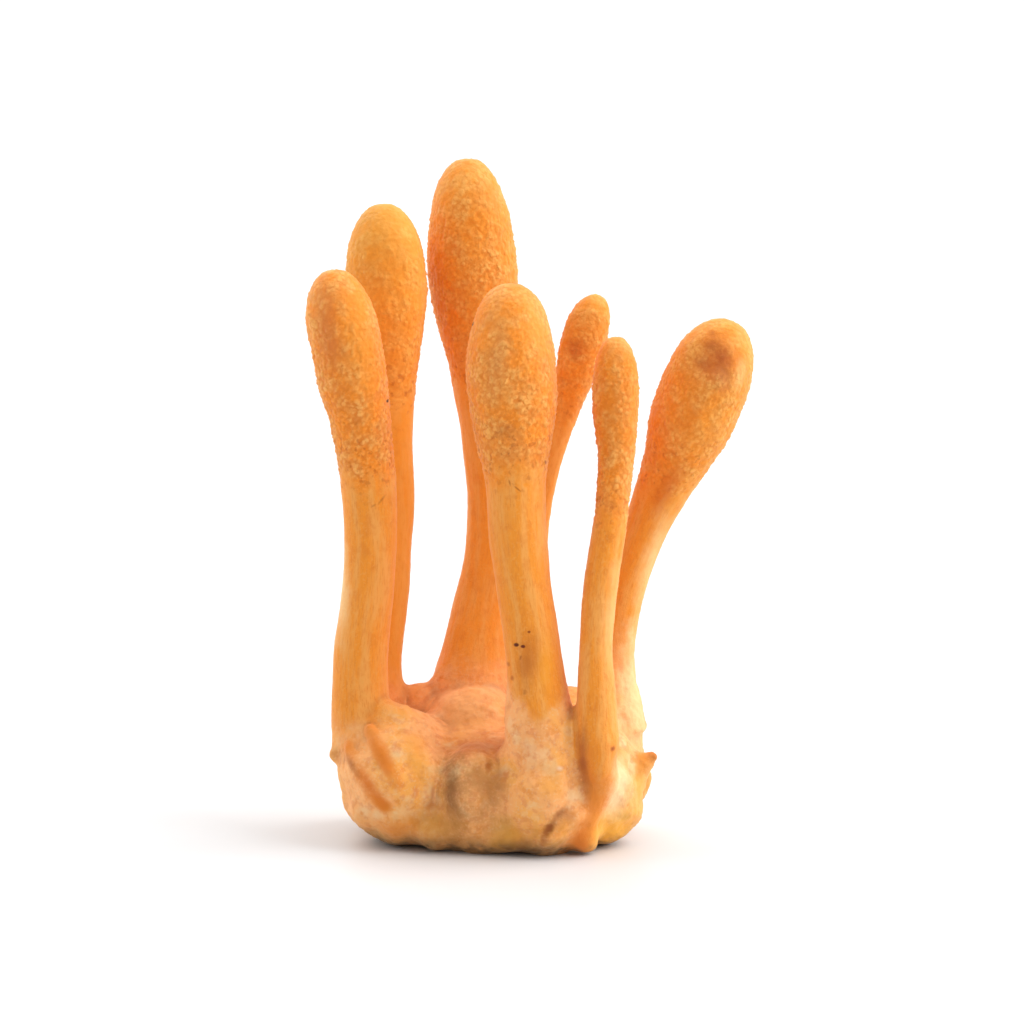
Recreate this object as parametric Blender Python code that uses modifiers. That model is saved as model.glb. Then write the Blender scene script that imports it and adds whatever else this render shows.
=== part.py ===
"""Cordyceps cluster: seven orange clubs that grew from one lumpy cushion of mycelium, cut flat beneath.

The clubs part from the cushion at one level, the fork. Below it their feet and the cushion are one piece.
Units are millimetres until a shape is made, and metres in the mesh. X is right, Y is back and Z is up.
The origin is on the flat cut underside.
"""

import math

import bmesh
import bpy
from mathutils import Matrix, Vector, noise

MM = 0.001

# Where the clubs part from the cushion
FORK_HEIGHT = 13.0
FORK_GAP = 0.3

# Clubs: stations up the middle as (x, y, z, radius), foot first, then the point of the tip
CLUBS = {
    "club_left": {
        "stations": [
            (-11.0, -2.0, 8.5, 2.6),
            (-11.1, -2.0, 15.5, 2.3),
            (-10.3, -2.0, 23.0, 2.2),
            (-10.3, -2.0, 29.0, 2.3),
            (-11.0, -2.0, 35.5, 2.65),
            (-11.7, -2.0, 39.0, 3.0),
            (-12.3, -1.9, 42.2, 3.05),
        ],
        "tip": (-13.4, -1.8, 48.0),
    },
    "club_back_left": {
        "stations": [
            (-9.9, 3.5, 9.0, 2.7),
            (-9.9, 4.0, 14.5, 2.15),
            (-9.1, 5.2, 21.0, 1.95),
            (-8.7, 6.5, 27.0, 1.9),
            (-8.9, 7.1, 33.0, 2.0),
            (-9.1, 7.4, 38.0, 2.55),
            (-9.15, 7.4, 41.5, 3.15),
            (-9.15, 7.4, 45.5, 3.6),
        ],
        "tip": (-9.4, 7.4, 53.0),
    },
    "club_tallest": {
        "stations": [
            (-2.2, 4.5, 8.5, 4.2),
            (-1.9, 5.0, 12.5, 3.4),
            (-1.2, 5.8, 17.5, 2.6),
            (-0.4, 6.7, 23.0, 2.2),
            (-0.3, 7.7, 29.0, 2.15),
            (-0.8, 8.9, 35.5, 2.45),
            (-1.2, 9.8, 39.5, 2.9),
            (-1.55, 10.7, 43.0, 3.55),
            (-1.9, 11.2, 47.0, 3.9),
        ],
        "tip": (-2.4, 11.3, 56.7),
    },
    "club_front": {
        "stations": [
            (4.6, -6.1, 3.5, 4.2),
            (4.2, -6.6, 8.5, 3.4),
            (3.5, -6.4, 14.0, 2.5),
            (2.8, -5.7, 20.0, 2.3),
            (2.1, -4.9, 25.5, 2.4),
            (1.8, -4.3, 30.0, 2.5),
            (1.7, -3.9, 33.5, 3.05),
            (1.6, -3.5, 36.5, 3.6),
            (1.45, -3.1, 39.8, 3.75),
        ],
        "tip": (1.3, -2.3, 46.9),
    },
    "club_back_right": {
        "stations": [
            (4.0, 8.2, 9.0, 1.7),
            (3.6, 8.0, 15.5, 1.25),
            (3.4, 7.6, 22.0, 1.1),
            (3.9, 7.2, 27.7, 1.1),
            (5.0, 7.1, 32.3, 1.15),
            (6.25, 7.1, 36.3, 1.45),
            (6.95, 7.1, 38.9, 1.85),
            (7.6, 7.0, 41.5, 2.0),
        ],
        "tip": (8.9, 7.0, 45.3),
    },
    "club_slim": {
        "stations": [
            (8.4, -8.2, 9.0, 1.9),
            (8.45, -8.0, 13.0, 1.65),
            (8.4, -7.4, 17.5, 1.42),
            (8.8, -6.3, 22.7, 1.44),
            (9.6, -5.2, 27.5, 1.46),
            (10.05, -4.2, 32.4, 1.6),
            (10.0, -3.6, 35.6, 1.93),
            (10.0, -3.2, 38.2, 2.0),
        ],
        "tip": (10.05, -2.7, 42.6),
    },
    "club_leaning": {
        "stations": [
            (10.2, 3.4, 8.5, 2.9),
            (10.05, 3.5, 13.0, 2.05),
            (10.25, 3.4, 17.0, 1.77),
            (11.2, 3.2, 21.5, 1.8),
            (12.9, 2.8, 26.3, 1.95),
            (14.1, 2.5, 29.2, 2.3),
            (15.3, 2.2, 31.8, 2.9),
            (16.3, 2.0, 34.5, 3.5),
            (17.4, 1.8, 37.5, 3.7),
        ],
        "tip": (19.9, 1.5, 43.5),
    },
}
TIP_BLUNTNESS = 2.15
TIP_RINGS = 5
TIP_END = 0.985
RING_STEP = 2.2
SIDE_LENGTH = 1.25
FEWEST_SIDES = 10

# Gentle unevenness of a club, as a share of its radius, and the size of its swells
UNEVEN_SHARE = 0.06
UNEVEN_SCALE = 4.0
CORE_SHARE = 0.3

# Hollow on the leaning club's head where the flesh is bruised: its middle, reach and depth
BRUISE = {"centre": (17.6, -1.2, 39.9), "reach": 2.4, "depth": 0.5}

# Cushion lobes, each a squashed ball: centre and half sizes
LOBES = [
    ((0.2, -0.2, 2.2), (11.1, 8.4, 3.4)),
    ((0.0, 0.0, 5.0), (9.5, 7.5, 5.0)),
    ((-7.9, -2.2, 5.6), (5.0, 5.8, 5.8)),
    ((-10.2, -2.0, 8.2), (3.1, 3.3, 3.6)),
    ((-1.4, -4.8, 4.4), (3.7, 4.4, 4.8)),
    ((4.2, -5.8, 4.8), (4.6, 4.4, 5.2)),
    ((8.6, -2.6, 5.0), (4.1, 5.2, 5.1)),
    ((-7.8, 4.4, 5.4), (4.8, 4.8, 5.8)),
    ((-6.0, 4.2, 9.6), (2.7, 2.3, 2.9)),
    ((-1.8, 4.6, 6.2), (5.4, 5.3, 6.2)),
    ((3.6, 7.0, 5.0), (4.7, 3.9, 5.3)),
    ((8.5, 4.2, 6.0), (4.2, 4.4, 5.8)),
    ((6.3, 1.0, 8.1), (4.2, 3.6, 4.6)),
    ((-1.6, 1.6, 8.6), (4.4, 3.8, 4.0)),
]

# Small growths on the cushion: balls drawn between points, as (x, y, z, radius) along each
GROWTHS = {
    "left flap": [(-11.0, -2.8, 8.6, 1.5), (-12.6, -2.9, 7.9, 0.9), (-13.2, -2.9, 7.6, 0.5)],
    "left web": [(-9.0, -3.4, 10.8, 1.5), (-7.8, -3.4, 10.2, 1.7), (-6.6, -3.6, 9.2, 1.7)],
    "left ridge, outer": [(-12.0, -4.7, 8.5, 0.6), (-10.6, -6.2, 6.3, 0.75), (-9.0, -7.1, 4.1, 0.6)],
    "left ridge, inner": [(-10.3, -5.2, 10.1, 0.65), (-9.1, -6.8, 8.2, 0.8), (-8.0, -7.8, 6.2, 0.6)],
    "yellow bud": [(-6.9, -5.4, 8.4, 1.5), (-6.4, -6.2, 7.2, 1.5)],
    "right nub": [(10.2, -3.6, 6.0, 1.7), (11.9, -3.9, 6.9, 1.1), (13.1, -4.1, 7.6, 0.6)],
    "slim club's root": [
        (8.4, -8.2, 9.0, 1.9),
        (8.6, -8.0, 6.0, 1.45),
        (8.0, -7.5, 3.4, 1.2),
        (7.3, -6.7, 1.4, 1.0),
    ],
    "front curl": [(4.1, -9.3, 1.6, 0.6), (4.8, -9.6, 2.9, 0.6), (5.7, -9.6, 3.4, 0.8)],
    "front lump": [(0.6, -7.4, 1.8, 1.2), (1.8, -8.0, 2.1, 1.1)],
    "back bud, left": [(-5.0, 8.2, 6.6, 1.2), (-5.3, 9.2, 7.6, 0.9)],
    "back bud, right": [(6.9, 9.4, 4.4, 1.3), (7.4, 10.2, 5.4, 0.8)],
    "side bud, right": [(11.6, 1.6, 3.8, 1.4), (12.5, 1.2, 4.8, 0.9)],
    "side bud, left": [(-11.6, 3.0, 4.0, 1.4), (-12.4, 3.4, 5.0, 0.8)],
}
GROWTH_STEP = 0.5

# Making one skin of the cushion
STUB_ABOVE_FORK = 1.5
SKIN_VOXEL = 0.35
SKIN_SMOOTHING = 5

# Uneven lumps of mycelium: their height and size, and the stretch over which they fade below the fork
LUMP_HEIGHT = 0.6
LUMP_SCALE = 2.6
LUMPS_END = FORK_HEIGHT - 2.0
LUMPS_FADE = 4.0

# Making the meshes
WELD_DISTANCE = 0.02
SMOOTH_ANGLE = math.radians(50)
CUSHION_FACES_KEPT = 0.075
CUTTER_SIZE = 60.0

COLOURS = {
    "club": ((0.80, 0.31, 0.06, 1.0), 0.75),
    "cushion": ((0.78, 0.45, 0.20, 1.0), 0.85),
}


def clear_scene():
    for obj in list(bpy.data.objects):
        bpy.data.objects.remove(obj, do_unlink=True)


def new_collection(name, hidden=False):
    collection = bpy.data.collections.new(name)
    collection.hide_render = hidden
    bpy.context.scene.collection.children.link(collection)
    return collection


def principled(name, colour, roughness):
    material = bpy.data.materials.new(name)
    material.use_nodes = True
    shader = material.node_tree.nodes["Principled BSDF"]
    shader.inputs["Base Color"].default_value = colour
    shader.inputs["Roughness"].default_value = roughness
    shader.inputs["Metallic"].default_value = 0.0
    return material


def hermite(a, b, slope_a, slope_b, span, t):
    """Value at share t between a and b, with the given slopes at its ends."""
    t2 = t * t
    t3 = t2 * t
    start = a * (2 * t3 - 3 * t2 + 1) + slope_a * (span * (t3 - 2 * t2 + t))
    return start + b * (3 * t2 - 2 * t3) + slope_b * (span * (t3 - t2))


def slopes_through(values, places):
    """Slope at each value, from the values before and after it."""
    slopes = []
    for i in range(len(values)):
        before = max(i - 1, 0)
        after = min(i + 1, len(values) - 1)
        slopes.append((values[after] - values[before]) / (places[after] - places[before]))
    return slopes


def club_rings(club, ring_step, tip_rings):
    """Rings (centre, radius) up a club: a smooth curve through its stations, then the rounded tip."""
    centres = [Vector(station[:3]) for station in club["stations"]] + [Vector(club["tip"])]
    radii = [station[3] for station in club["stations"]]
    places = [0.0]
    for below, above in zip(centres, centres[1:]):
        places.append(places[-1] + (above - below).length)
    centre_slopes = slopes_through(centres, places)
    radius_slopes = slopes_through(radii, places)
    radius_slopes[-1] = 0.0

    rings = []
    for i in range(len(radii) - 1):
        span = places[i + 1] - places[i]
        count = max(1, round(span / ring_step))
        for j in range(count):
            t = j / count
            centre = hermite(centres[i], centres[i + 1], centre_slopes[i], centre_slopes[i + 1], span, t)
            radius = hermite(radii[i], radii[i + 1], radius_slopes[i], radius_slopes[i + 1], span, t)
            rings.append((centre, radius))

    span = places[-1] - places[-2]
    for j in range(tip_rings + 1):
        t = TIP_END * math.sin(math.pi / 2 * j / tip_rings)
        centre = hermite(centres[-2], centres[-1], centre_slopes[-2], centre_slopes[-1], span, t)
        radius = radii[-1] * (1 - t**TIP_BLUNTNESS) ** (1 / TIP_BLUNTNESS)
        rings.append((centre, radius))
    return rings


def tube_mesh(name, rings, sides):
    """Closed tube through the rings, made as a bevelled curve and turned into a mesh."""
    curve = bpy.data.curves.new(name, "CURVE")
    curve.dimensions = "3D"
    curve.bevel_depth = MM
    curve.bevel_resolution = sides // 2 - 2
    curve.use_fill_caps = True
    spline = curve.splines.new("POLY")
    spline.points.add(len(rings) - 1)
    for point, (centre, radius) in zip(spline.points, rings):
        point.co = (*(centre * MM), 1.0)
        point.radius = radius
    holder = bpy.data.objects.new(name + "_curve", curve)
    bpy.context.scene.collection.objects.link(holder)
    graph = bpy.context.evaluated_depsgraph_get()
    mesh = bpy.data.meshes.new_from_object(holder.evaluated_get(graph))
    bpy.data.objects.remove(holder, do_unlink=True)
    shape = bmesh.new()
    shape.from_mesh(mesh)
    bmesh.ops.remove_doubles(shape, verts=shape.verts, dist=WELD_DISTANCE * MM)
    bmesh.ops.recalc_face_normals(shape, faces=shape.faces)
    shape.to_mesh(mesh)
    shape.free()
    mesh.name = name
    return mesh


def roughen_club(mesh, rings):
    """Move each point in or out a little, so that the club isn't a perfect turned shape."""
    for vertex in mesh.vertices:
        place = vertex.co / MM
        centre, radius = min(rings, key=lambda ring: (ring[0] - place).length_squared)
        outward = place - centre
        if outward.length > CORE_SHARE * radius:
            swell = noise.noise(place / UNEVEN_SCALE)
            vertex.co += outward.normalized() * (swell * UNEVEN_SHARE * radius * MM)


def press_hollow(mesh, centre, reach, depth):
    """Push the points near a place on the surface inwards, most in the middle."""
    middle = Vector(centre)
    for vertex in mesh.vertices:
        distance = (vertex.co / MM - middle).length
        if distance < reach:
            share = (1 + math.cos(math.pi * distance / reach)) / 2
            vertex.co -= vertex.normal * (share * depth * MM)


def cut_level(mesh, height):
    """Remove what is below a level, and close the cut with a flat face."""
    shape = bmesh.new()
    shape.from_mesh(mesh)
    bmesh.ops.bisect_plane(
        shape,
        geom=shape.verts[:] + shape.edges[:] + shape.faces[:],
        plane_co=(0, 0, height * MM),
        plane_no=(0, 0, 1),
        clear_inner=True,
    )
    rim = [edge for edge in shape.edges if edge.is_boundary]
    bmesh.ops.contextual_create(shape, geom=rim)
    bmesh.ops.recalc_face_normals(shape, faces=shape.faces)
    shape.to_mesh(mesh)
    shape.free()


def sides_for(rings):
    widest = max(radius for _, radius in rings)
    sides = 2 * math.pi * widest / SIDE_LENGTH
    return max(FEWEST_SIDES, 2 * round(sides / 2))


def make_club(name, club, collection, material):
    rings = club_rings(club, RING_STEP, TIP_RINGS)
    mesh = tube_mesh(name, rings, sides_for(rings))
    roughen_club(mesh, rings)
    if name == "club_leaning":
        press_hollow(mesh, BRUISE["centre"], BRUISE["reach"], BRUISE["depth"])
    cut_level(mesh, FORK_HEIGHT + FORK_GAP / 2)
    mesh.shade_smooth()
    mesh.set_sharp_from_angle(angle=SMOOTH_ANGLE)
    mesh.materials.clear()
    mesh.materials.append(material)
    obj = bpy.data.objects.new(name, mesh)
    collection.objects.link(obj)
    return obj


def add_ball(shape, centre, half_sizes, subdivisions=3):
    place = Matrix.Translation(Vector(centre) * MM)
    size = Matrix.Diagonal((*(Vector(half_sizes) * MM), 1.0))
    bmesh.ops.create_icosphere(shape, subdivisions=subdivisions, radius=1.0, matrix=place @ size)


def add_growth(shape, points):
    """Overlapping balls along a growth, which the remeshing melts into one ridge or bud."""
    for (*start, start_radius), (*end, end_radius) in zip(points, points[1:]):
        a = Vector(start)
        b = Vector(end)
        count = max(1, math.ceil((b - a).length / GROWTH_STEP))
        for j in range(count + 1):
            t = j / count
            radius = start_radius + (end_radius - start_radius) * t
            add_ball(shape, a.lerp(b, t), (radius,) * 3, subdivisions=2)


def cushion_blank():
    """All that the cushion is fused from, as one mesh of overlapping closed shapes."""
    shape = bmesh.new()
    for centre, half_sizes in LOBES:
        add_ball(shape, centre, half_sizes)
    for points in GROWTHS.values():
        add_growth(shape, points)
    for name, club in CLUBS.items():
        rings = [
            ring
            for ring in club_rings(club, RING_STEP / 2, TIP_RINGS)
            if ring[0].z < FORK_HEIGHT + STUB_ABOVE_FORK
        ]
        foot = tube_mesh(name + "_foot", rings, 2 * sides_for(rings))
        roughen_club(foot, rings)
        shape.from_mesh(foot)
        bpy.data.meshes.remove(foot)
    mesh = bpy.data.meshes.new("cushion_blank")
    shape.to_mesh(mesh)
    shape.free()
    return mesh


def fused_skin(mesh):
    """One smooth closed skin round the overlapping shapes."""
    holder = bpy.data.objects.new("cushion_holder", mesh)
    bpy.context.scene.collection.objects.link(holder)
    remesh = holder.modifiers.new("one skin", "REMESH")
    remesh.mode = "VOXEL"
    remesh.voxel_size = SKIN_VOXEL * MM
    soften = holder.modifiers.new("soften creases", "SMOOTH")
    soften.factor = 0.5
    soften.iterations = SKIN_SMOOTHING
    graph = bpy.context.evaluated_depsgraph_get()
    skin = bpy.data.meshes.new_from_object(holder.evaluated_get(graph))
    bpy.data.objects.remove(holder, do_unlink=True)
    bpy.data.meshes.remove(mesh)
    return skin


def add_lumps(mesh):
    """Uneven lumps of mycelium, fading out towards the fork where the clubs begin."""
    for vertex in mesh.vertices:
        place = vertex.co / MM
        fade = min(1.0, max(0.0, (LUMPS_END - place.z) / LUMPS_FADE))
        lump = noise.noise(place / LUMP_SCALE)
        vertex.co += vertex.normal * (lump * fade * LUMP_HEIGHT * MM)


def box_cutter(name, low_z, high_z, collection):
    shape = bmesh.new()
    size = Matrix.Diagonal((CUTTER_SIZE * MM, CUTTER_SIZE * MM, (high_z - low_z) * MM, 1.0))
    place = Matrix.Translation((0, 0, (low_z + high_z) / 2 * MM))
    bmesh.ops.create_cube(shape, size=1.0, matrix=place @ size)
    mesh = bpy.data.meshes.new(name)
    shape.to_mesh(mesh)
    shape.free()
    cutter = bpy.data.objects.new(name, mesh)
    cutter.hide_render = True
    cutter.display_type = "WIRE"
    collection.objects.link(cutter)
    return cutter


def make_cushion(collection, cutters, material):
    mesh = fused_skin(cushion_blank())
    add_lumps(mesh)
    mesh.name = "base"
    mesh.shade_smooth()
    mesh.materials.clear()
    mesh.materials.append(material)
    obj = bpy.data.objects.new("base", mesh)
    collection.objects.link(obj)
    fewer = obj.modifiers.new("fewer faces", "DECIMATE")
    fewer.ratio = CUSHION_FACES_KEPT
    levels = {
        "flat cut underside": (-CUTTER_SIZE / 2, 0.0),
        "fork": (FORK_HEIGHT - FORK_GAP / 2, FORK_HEIGHT + CUTTER_SIZE / 2),
    }
    for label, (low_z, high_z) in levels.items():
        cut = obj.modifiers.new(label, "BOOLEAN")
        cut.operation = "DIFFERENCE"
        cut.solver = "EXACT"
        cut.object = box_cutter(label.replace(" ", "_") + "_cutter", low_z, high_z, cutters)
    return obj


def main():
    clear_scene()
    parts = new_collection("cordyceps_cluster")
    cutters = new_collection("cutters", hidden=True)
    club_skin = principled("club skin", *COLOURS["club"])
    mycelium = principled("mycelium", *COLOURS["cushion"])
    make_cushion(parts, cutters, mycelium)
    for name, club in CLUBS.items():
        make_club(name, club, parts, club_skin)


main()
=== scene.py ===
"""Cordyceps cluster: seven orange clubs that grew from one cushion of mycelium, on a pale studio floor.

The clubs and the cushion are one growth, so they are grown here as one skin, which gets its pebbles,
fibres and felt as real relief and is then parted at the fork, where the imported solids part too.
Named places and sizes are millimetres in the object's own frame: X right, Y back, Z up, origin on the
flat cut underside. Meshes are in metres.
"""

import math

import bmesh
import bpy
import numpy as np
from bpy.props import FloatProperty, FloatVectorProperty, IntProperty, PointerProperty
from mathutils import Euler, Matrix, Vector, noise


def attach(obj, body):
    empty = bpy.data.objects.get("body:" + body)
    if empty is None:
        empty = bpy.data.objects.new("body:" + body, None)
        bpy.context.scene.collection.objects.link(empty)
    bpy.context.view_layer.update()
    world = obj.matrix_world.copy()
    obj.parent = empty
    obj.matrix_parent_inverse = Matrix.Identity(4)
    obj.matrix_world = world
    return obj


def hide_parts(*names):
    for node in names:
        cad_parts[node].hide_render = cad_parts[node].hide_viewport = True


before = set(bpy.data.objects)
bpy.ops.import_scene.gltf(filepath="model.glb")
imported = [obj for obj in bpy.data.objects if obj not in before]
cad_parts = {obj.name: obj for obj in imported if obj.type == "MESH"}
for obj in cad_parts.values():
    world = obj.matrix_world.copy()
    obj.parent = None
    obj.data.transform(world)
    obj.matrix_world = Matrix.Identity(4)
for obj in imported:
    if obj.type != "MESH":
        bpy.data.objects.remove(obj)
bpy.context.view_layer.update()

bl_info = {
    "name": "Cordyceps cluster",
    "version": (1, 0, 0),
    "blender": (4, 5, 0),
    "location": "3D View > Sidebar > Cordyceps",
    "description": "Grows a cluster of orange cordyceps clubs on a cushion of mycelium",
    "category": "Add Mesh",
}

MM = 0.001
UP = (0, 0, 1)

# Where the clubs part from the cushion
FORK_HEIGHT = 13.0
FORK_MARGIN = 0.02

# Clubs: stations up the middle as (x, y, z, radius), foot first, then the point of the tip.
# neck: height at which the pebbled head ends. smooth_tip: length at the tip with little relief.
# pebbles: share of the full pebbling. felt_top: height up to which felt covers its foot.
# ripe: how far its flesh has turned from orange to yellow ochre, from 0 to 1.
CLUBS = {
    "club_left": {
        "stations": [
            (-11.0, -2.0, 8.5, 2.6),
            (-11.1, -2.0, 15.5, 2.3),
            (-10.3, -2.0, 23.0, 2.2),
            (-10.3, -2.0, 29.0, 2.3),
            (-11.0, -2.0, 35.5, 2.65),
            (-11.7, -2.0, 39.0, 3.0),
            (-12.3, -1.9, 42.2, 3.05),
        ],
        "tip": (-13.4, -1.8, 48.0),
        "neck": 30.5,
        "smooth_tip": 7.0,
        "pebbles": 1.0,
        "ripe": 0.0,
        "felt_top": 9.5,
    },
    "club_back_left": {
        "stations": [
            (-9.9, 3.5, 9.0, 2.7),
            (-9.9, 4.0, 14.5, 2.15),
            (-9.1, 5.2, 21.0, 1.95),
            (-8.7, 6.5, 27.0, 1.9),
            (-8.9, 7.1, 33.0, 2.0),
            (-9.1, 7.4, 38.0, 2.55),
            (-9.15, 7.4, 41.5, 3.15),
            (-9.15, 7.4, 45.5, 3.6),
        ],
        "tip": (-9.4, 7.4, 53.0),
        "neck": 35.5,
        "smooth_tip": 6.0,
        "pebbles": 0.8,
        "ripe": 0.5,
        "felt_top": 12.5,
    },
    "club_tallest": {
        "stations": [
            (-2.2, 4.5, 8.5, 4.2),
            (-1.9, 5.0, 12.5, 3.4),
            (-1.2, 5.8, 17.5, 2.6),
            (-0.4, 6.7, 23.0, 2.2),
            (-0.3, 7.7, 29.0, 2.15),
            (-0.8, 8.9, 35.5, 2.45),
            (-1.2, 9.8, 39.5, 2.9),
            (-1.55, 10.7, 43.0, 3.55),
            (-1.9, 11.2, 47.0, 3.9),
        ],
        "tip": (-2.4, 11.3, 56.7),
        "neck": 37.5,
        "smooth_tip": 6.0,
        "pebbles": 0.9,
        "ripe": 0.2,
        "felt_top": 14.0,
    },
    "club_front": {
        "stations": [
            (4.6, -6.1, 3.5, 4.2),
            (4.2, -6.6, 8.5, 3.4),
            (3.5, -6.4, 14.0, 2.5),
            (2.8, -5.7, 20.0, 2.3),
            (2.1, -4.9, 25.5, 2.4),
            (1.8, -4.3, 30.0, 2.5),
            (1.7, -3.9, 33.5, 3.05),
            (1.6, -3.5, 36.5, 3.6),
            (1.45, -3.1, 39.8, 3.75),
        ],
        "tip": (1.3, -2.3, 46.9),
        "neck": 31.2,
        "smooth_tip": 8.0,
        "pebbles": 1.0,
        "ripe": 0.05,
        "felt_top": 12.6,
    },
    "club_back_right": {
        "stations": [
            (4.0, 8.2, 9.0, 1.7),
            (3.6, 8.0, 15.5, 1.25),
            (3.4, 7.6, 22.0, 1.1),
            (3.9, 7.2, 27.7, 1.1),
            (5.0, 7.1, 32.3, 1.15),
            (6.25, 7.1, 36.3, 1.45),
            (6.95, 7.1, 38.9, 1.85),
            (7.6, 7.0, 41.5, 2.0),
        ],
        "tip": (8.9, 7.0, 45.3),
        "neck": 34.0,
        "smooth_tip": 2.5,
        "pebbles": 0.7,
        "ripe": 0.25,
        "felt_top": 9.5,
    },
    "club_slim": {
        "stations": [
            (8.4, -8.2, 9.0, 1.9),
            (8.45, -8.0, 13.0, 1.65),
            (8.4, -7.4, 17.5, 1.42),
            (8.8, -6.3, 22.7, 1.44),
            (9.6, -5.2, 27.5, 1.46),
            (10.05, -4.2, 32.4, 1.6),
            (10.0, -3.6, 35.6, 1.93),
            (10.0, -3.2, 38.2, 2.0),
        ],
        "tip": (10.05, -2.7, 42.6),
        "neck": 27.5,
        "smooth_tip": 4.0,
        "pebbles": 0.8,
        "ripe": 0.0,
        "felt_top": 2.0,
    },
    "club_leaning": {
        "stations": [
            (10.2, 3.4, 8.5, 2.9),
            (10.05, 3.5, 13.0, 2.05),
            (10.25, 3.4, 17.0, 1.77),
            (11.2, 3.2, 21.5, 1.8),
            (12.9, 2.8, 26.3, 1.95),
            (14.1, 2.5, 29.2, 2.3),
            (15.3, 2.2, 31.8, 2.9),
            (16.3, 2.0, 34.5, 3.5),
            (17.4, 1.8, 37.5, 3.7),
        ],
        "tip": (19.9, 1.5, 43.5),
        "neck": 29.5,
        "smooth_tip": 5.0,
        "pebbles": 0.8,
        "ripe": 0.2,
        "felt_top": 15.0,
    },
}
TIP_BLUNTNESS = 2.15
TIP_END = 0.985
TIP_RINGS = 14
RING_STEP = 0.6
TUBE_SIDES = 40

# Gentle unevenness of a club, as a share of its radius, and the size of its swells
UNEVEN_SHARE = 0.06
UNEVEN_SCALE = 4.0
CORE_SHARE = 0.3

# Hollows pressed into the skin: middle, reach and depth
HOLLOWS = {
    "bruise on the leaning head": ((17.6, -1.2, 39.9), 2.4, 0.5),
    "pit in the cushion's front": ((-0.4, -7.7, 7.5), 0.7, 0.35),
    "crease inside the curl": ((4.6, -10.1, 2.7), 0.9, 0.5),
    "ring scar on the front foot": ((2.5, -8.7, 13.8), 0.55, 0.18),
}

# Cushion lobes, each a squashed ball: centre and half sizes
LOBES = [
    ((0.2, -0.2, 2.2), (11.1, 8.4, 3.4)),
    ((0.0, 0.0, 5.0), (9.5, 7.5, 5.0)),
    ((-7.9, -2.2, 5.6), (5.0, 5.8, 5.8)),
    ((-10.2, -2.0, 8.2), (3.1, 3.3, 3.6)),
    ((-1.4, -4.8, 4.4), (3.7, 4.4, 4.8)),
    ((4.2, -5.8, 4.8), (4.6, 4.4, 5.2)),
    ((8.6, -2.6, 5.0), (4.1, 5.2, 5.1)),
    ((-7.8, 4.4, 5.4), (4.8, 4.8, 5.8)),
    ((-6.0, 4.2, 9.6), (2.7, 2.3, 2.9)),
    ((-1.8, 4.6, 6.2), (5.4, 5.3, 6.2)),
    ((3.6, 7.0, 5.0), (4.7, 3.9, 5.3)),
    ((8.5, 4.2, 6.0), (4.2, 4.4, 5.8)),
    ((6.3, 1.0, 8.1), (4.2, 3.6, 4.6)),
    ((-1.6, 1.6, 8.6), (4.4, 3.8, 4.0)),
]

# Small growths on the cushion: balls drawn between points, as (x, y, z, radius) along each
GROWTHS = {
    "left web": [(-9.0, -3.4, 10.8, 1.5), (-7.8, -3.4, 10.2, 1.7), (-6.6, -3.6, 9.2, 1.7)],
    "left flap": [(-11.0, -2.8, 8.6, 1.5), (-12.6, -2.9, 7.9, 0.9), (-13.2, -2.9, 7.6, 0.5)],
    "left ridge, outer": [(-12.0, -4.7, 8.5, 0.6), (-10.6, -6.2, 6.3, 0.75), (-9.0, -7.1, 4.1, 0.6)],
    "left ridge, inner": [(-10.3, -5.2, 10.1, 0.5), (-9.1, -6.8, 8.2, 0.65), (-8.0, -7.8, 6.2, 0.5)],
    "yellow bud": [(-6.9, -5.4, 8.4, 1.5), (-6.4, -6.2, 7.2, 1.5)],
    "right nub": [(10.2, -3.6, 6.0, 1.7), (11.9, -3.9, 6.9, 1.1), (13.1, -4.1, 7.6, 0.6)],
    "slim club's root": [
        (8.4, -8.2, 9.0, 1.9),
        (8.6, -8.0, 6.0, 1.45),
        (8.0, -7.6, 3.4, 1.35),
        (7.2, -6.8, 1.4, 1.5),
    ],
    "front curl": [(4.1, -9.3, 1.6, 0.6), (4.8, -9.6, 2.9, 0.6), (5.7, -9.6, 3.4, 0.8)],
    "front lump": [(0.6, -7.4, 1.8, 1.2), (1.8, -8.0, 2.1, 1.1)],
    "back bud, left": [(-5.0, 8.2, 6.6, 1.2), (-5.3, 9.2, 7.6, 0.9)],
    "back bud, right": [(6.9, 9.4, 4.4, 1.3), (7.4, 10.2, 5.4, 0.8)],
    "side bud, right": [(11.6, 1.6, 3.8, 1.4), (12.5, 1.2, 4.8, 0.9)],
    "side bud, left": [(-11.6, 3.0, 4.0, 1.4), (-12.4, 3.4, 5.0, 0.8)],
}
GROWTH_STEP = 0.5
ORANGE_GROWTHS = ["left ridge, outer", "left ridge, inner", "slim club's root", "side bud, left"]
YELLOW_GROWTHS = [
    "yellow bud",
    "right nub",
    "front lump",
    "back bud, right",
    "side bud, right",
    "back bud, left",
]

# Uneven lumps of mycelium: their height and size, and the stretch over which they fade below the fork
LUMP_HEIGHT = 0.6
LUMP_SCALE = 2.6
LUMPS_END = FORK_HEIGHT - 2.0
LUMPS_FADE = 4.0

WELD_DISTANCE = 0.02
SKIN_SMOOTHING = 8

# Mycelium fills this share of the creases between lobes, fading out just below the fork
FILL_BLUR_STEPS = 30
CREASES_FILLED = 0.8
FILL_END = FORK_HEIGHT - 0.4
FILL_FADE = 1.5

# Creases that get painted shade: steps that find them, and the depth at which the painted shade is full
CREASE_BLUR_STEPS = 8
FULL_CREASE_SHADE = 0.12

# Where a head's pebbles begin, above and below the neck, and the band of dried specks just above it
NECK_BLEND = 1.6
SPECKS_ABOVE_NECK = 2.0
SPECKS_SPREAD = 3.2

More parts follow.
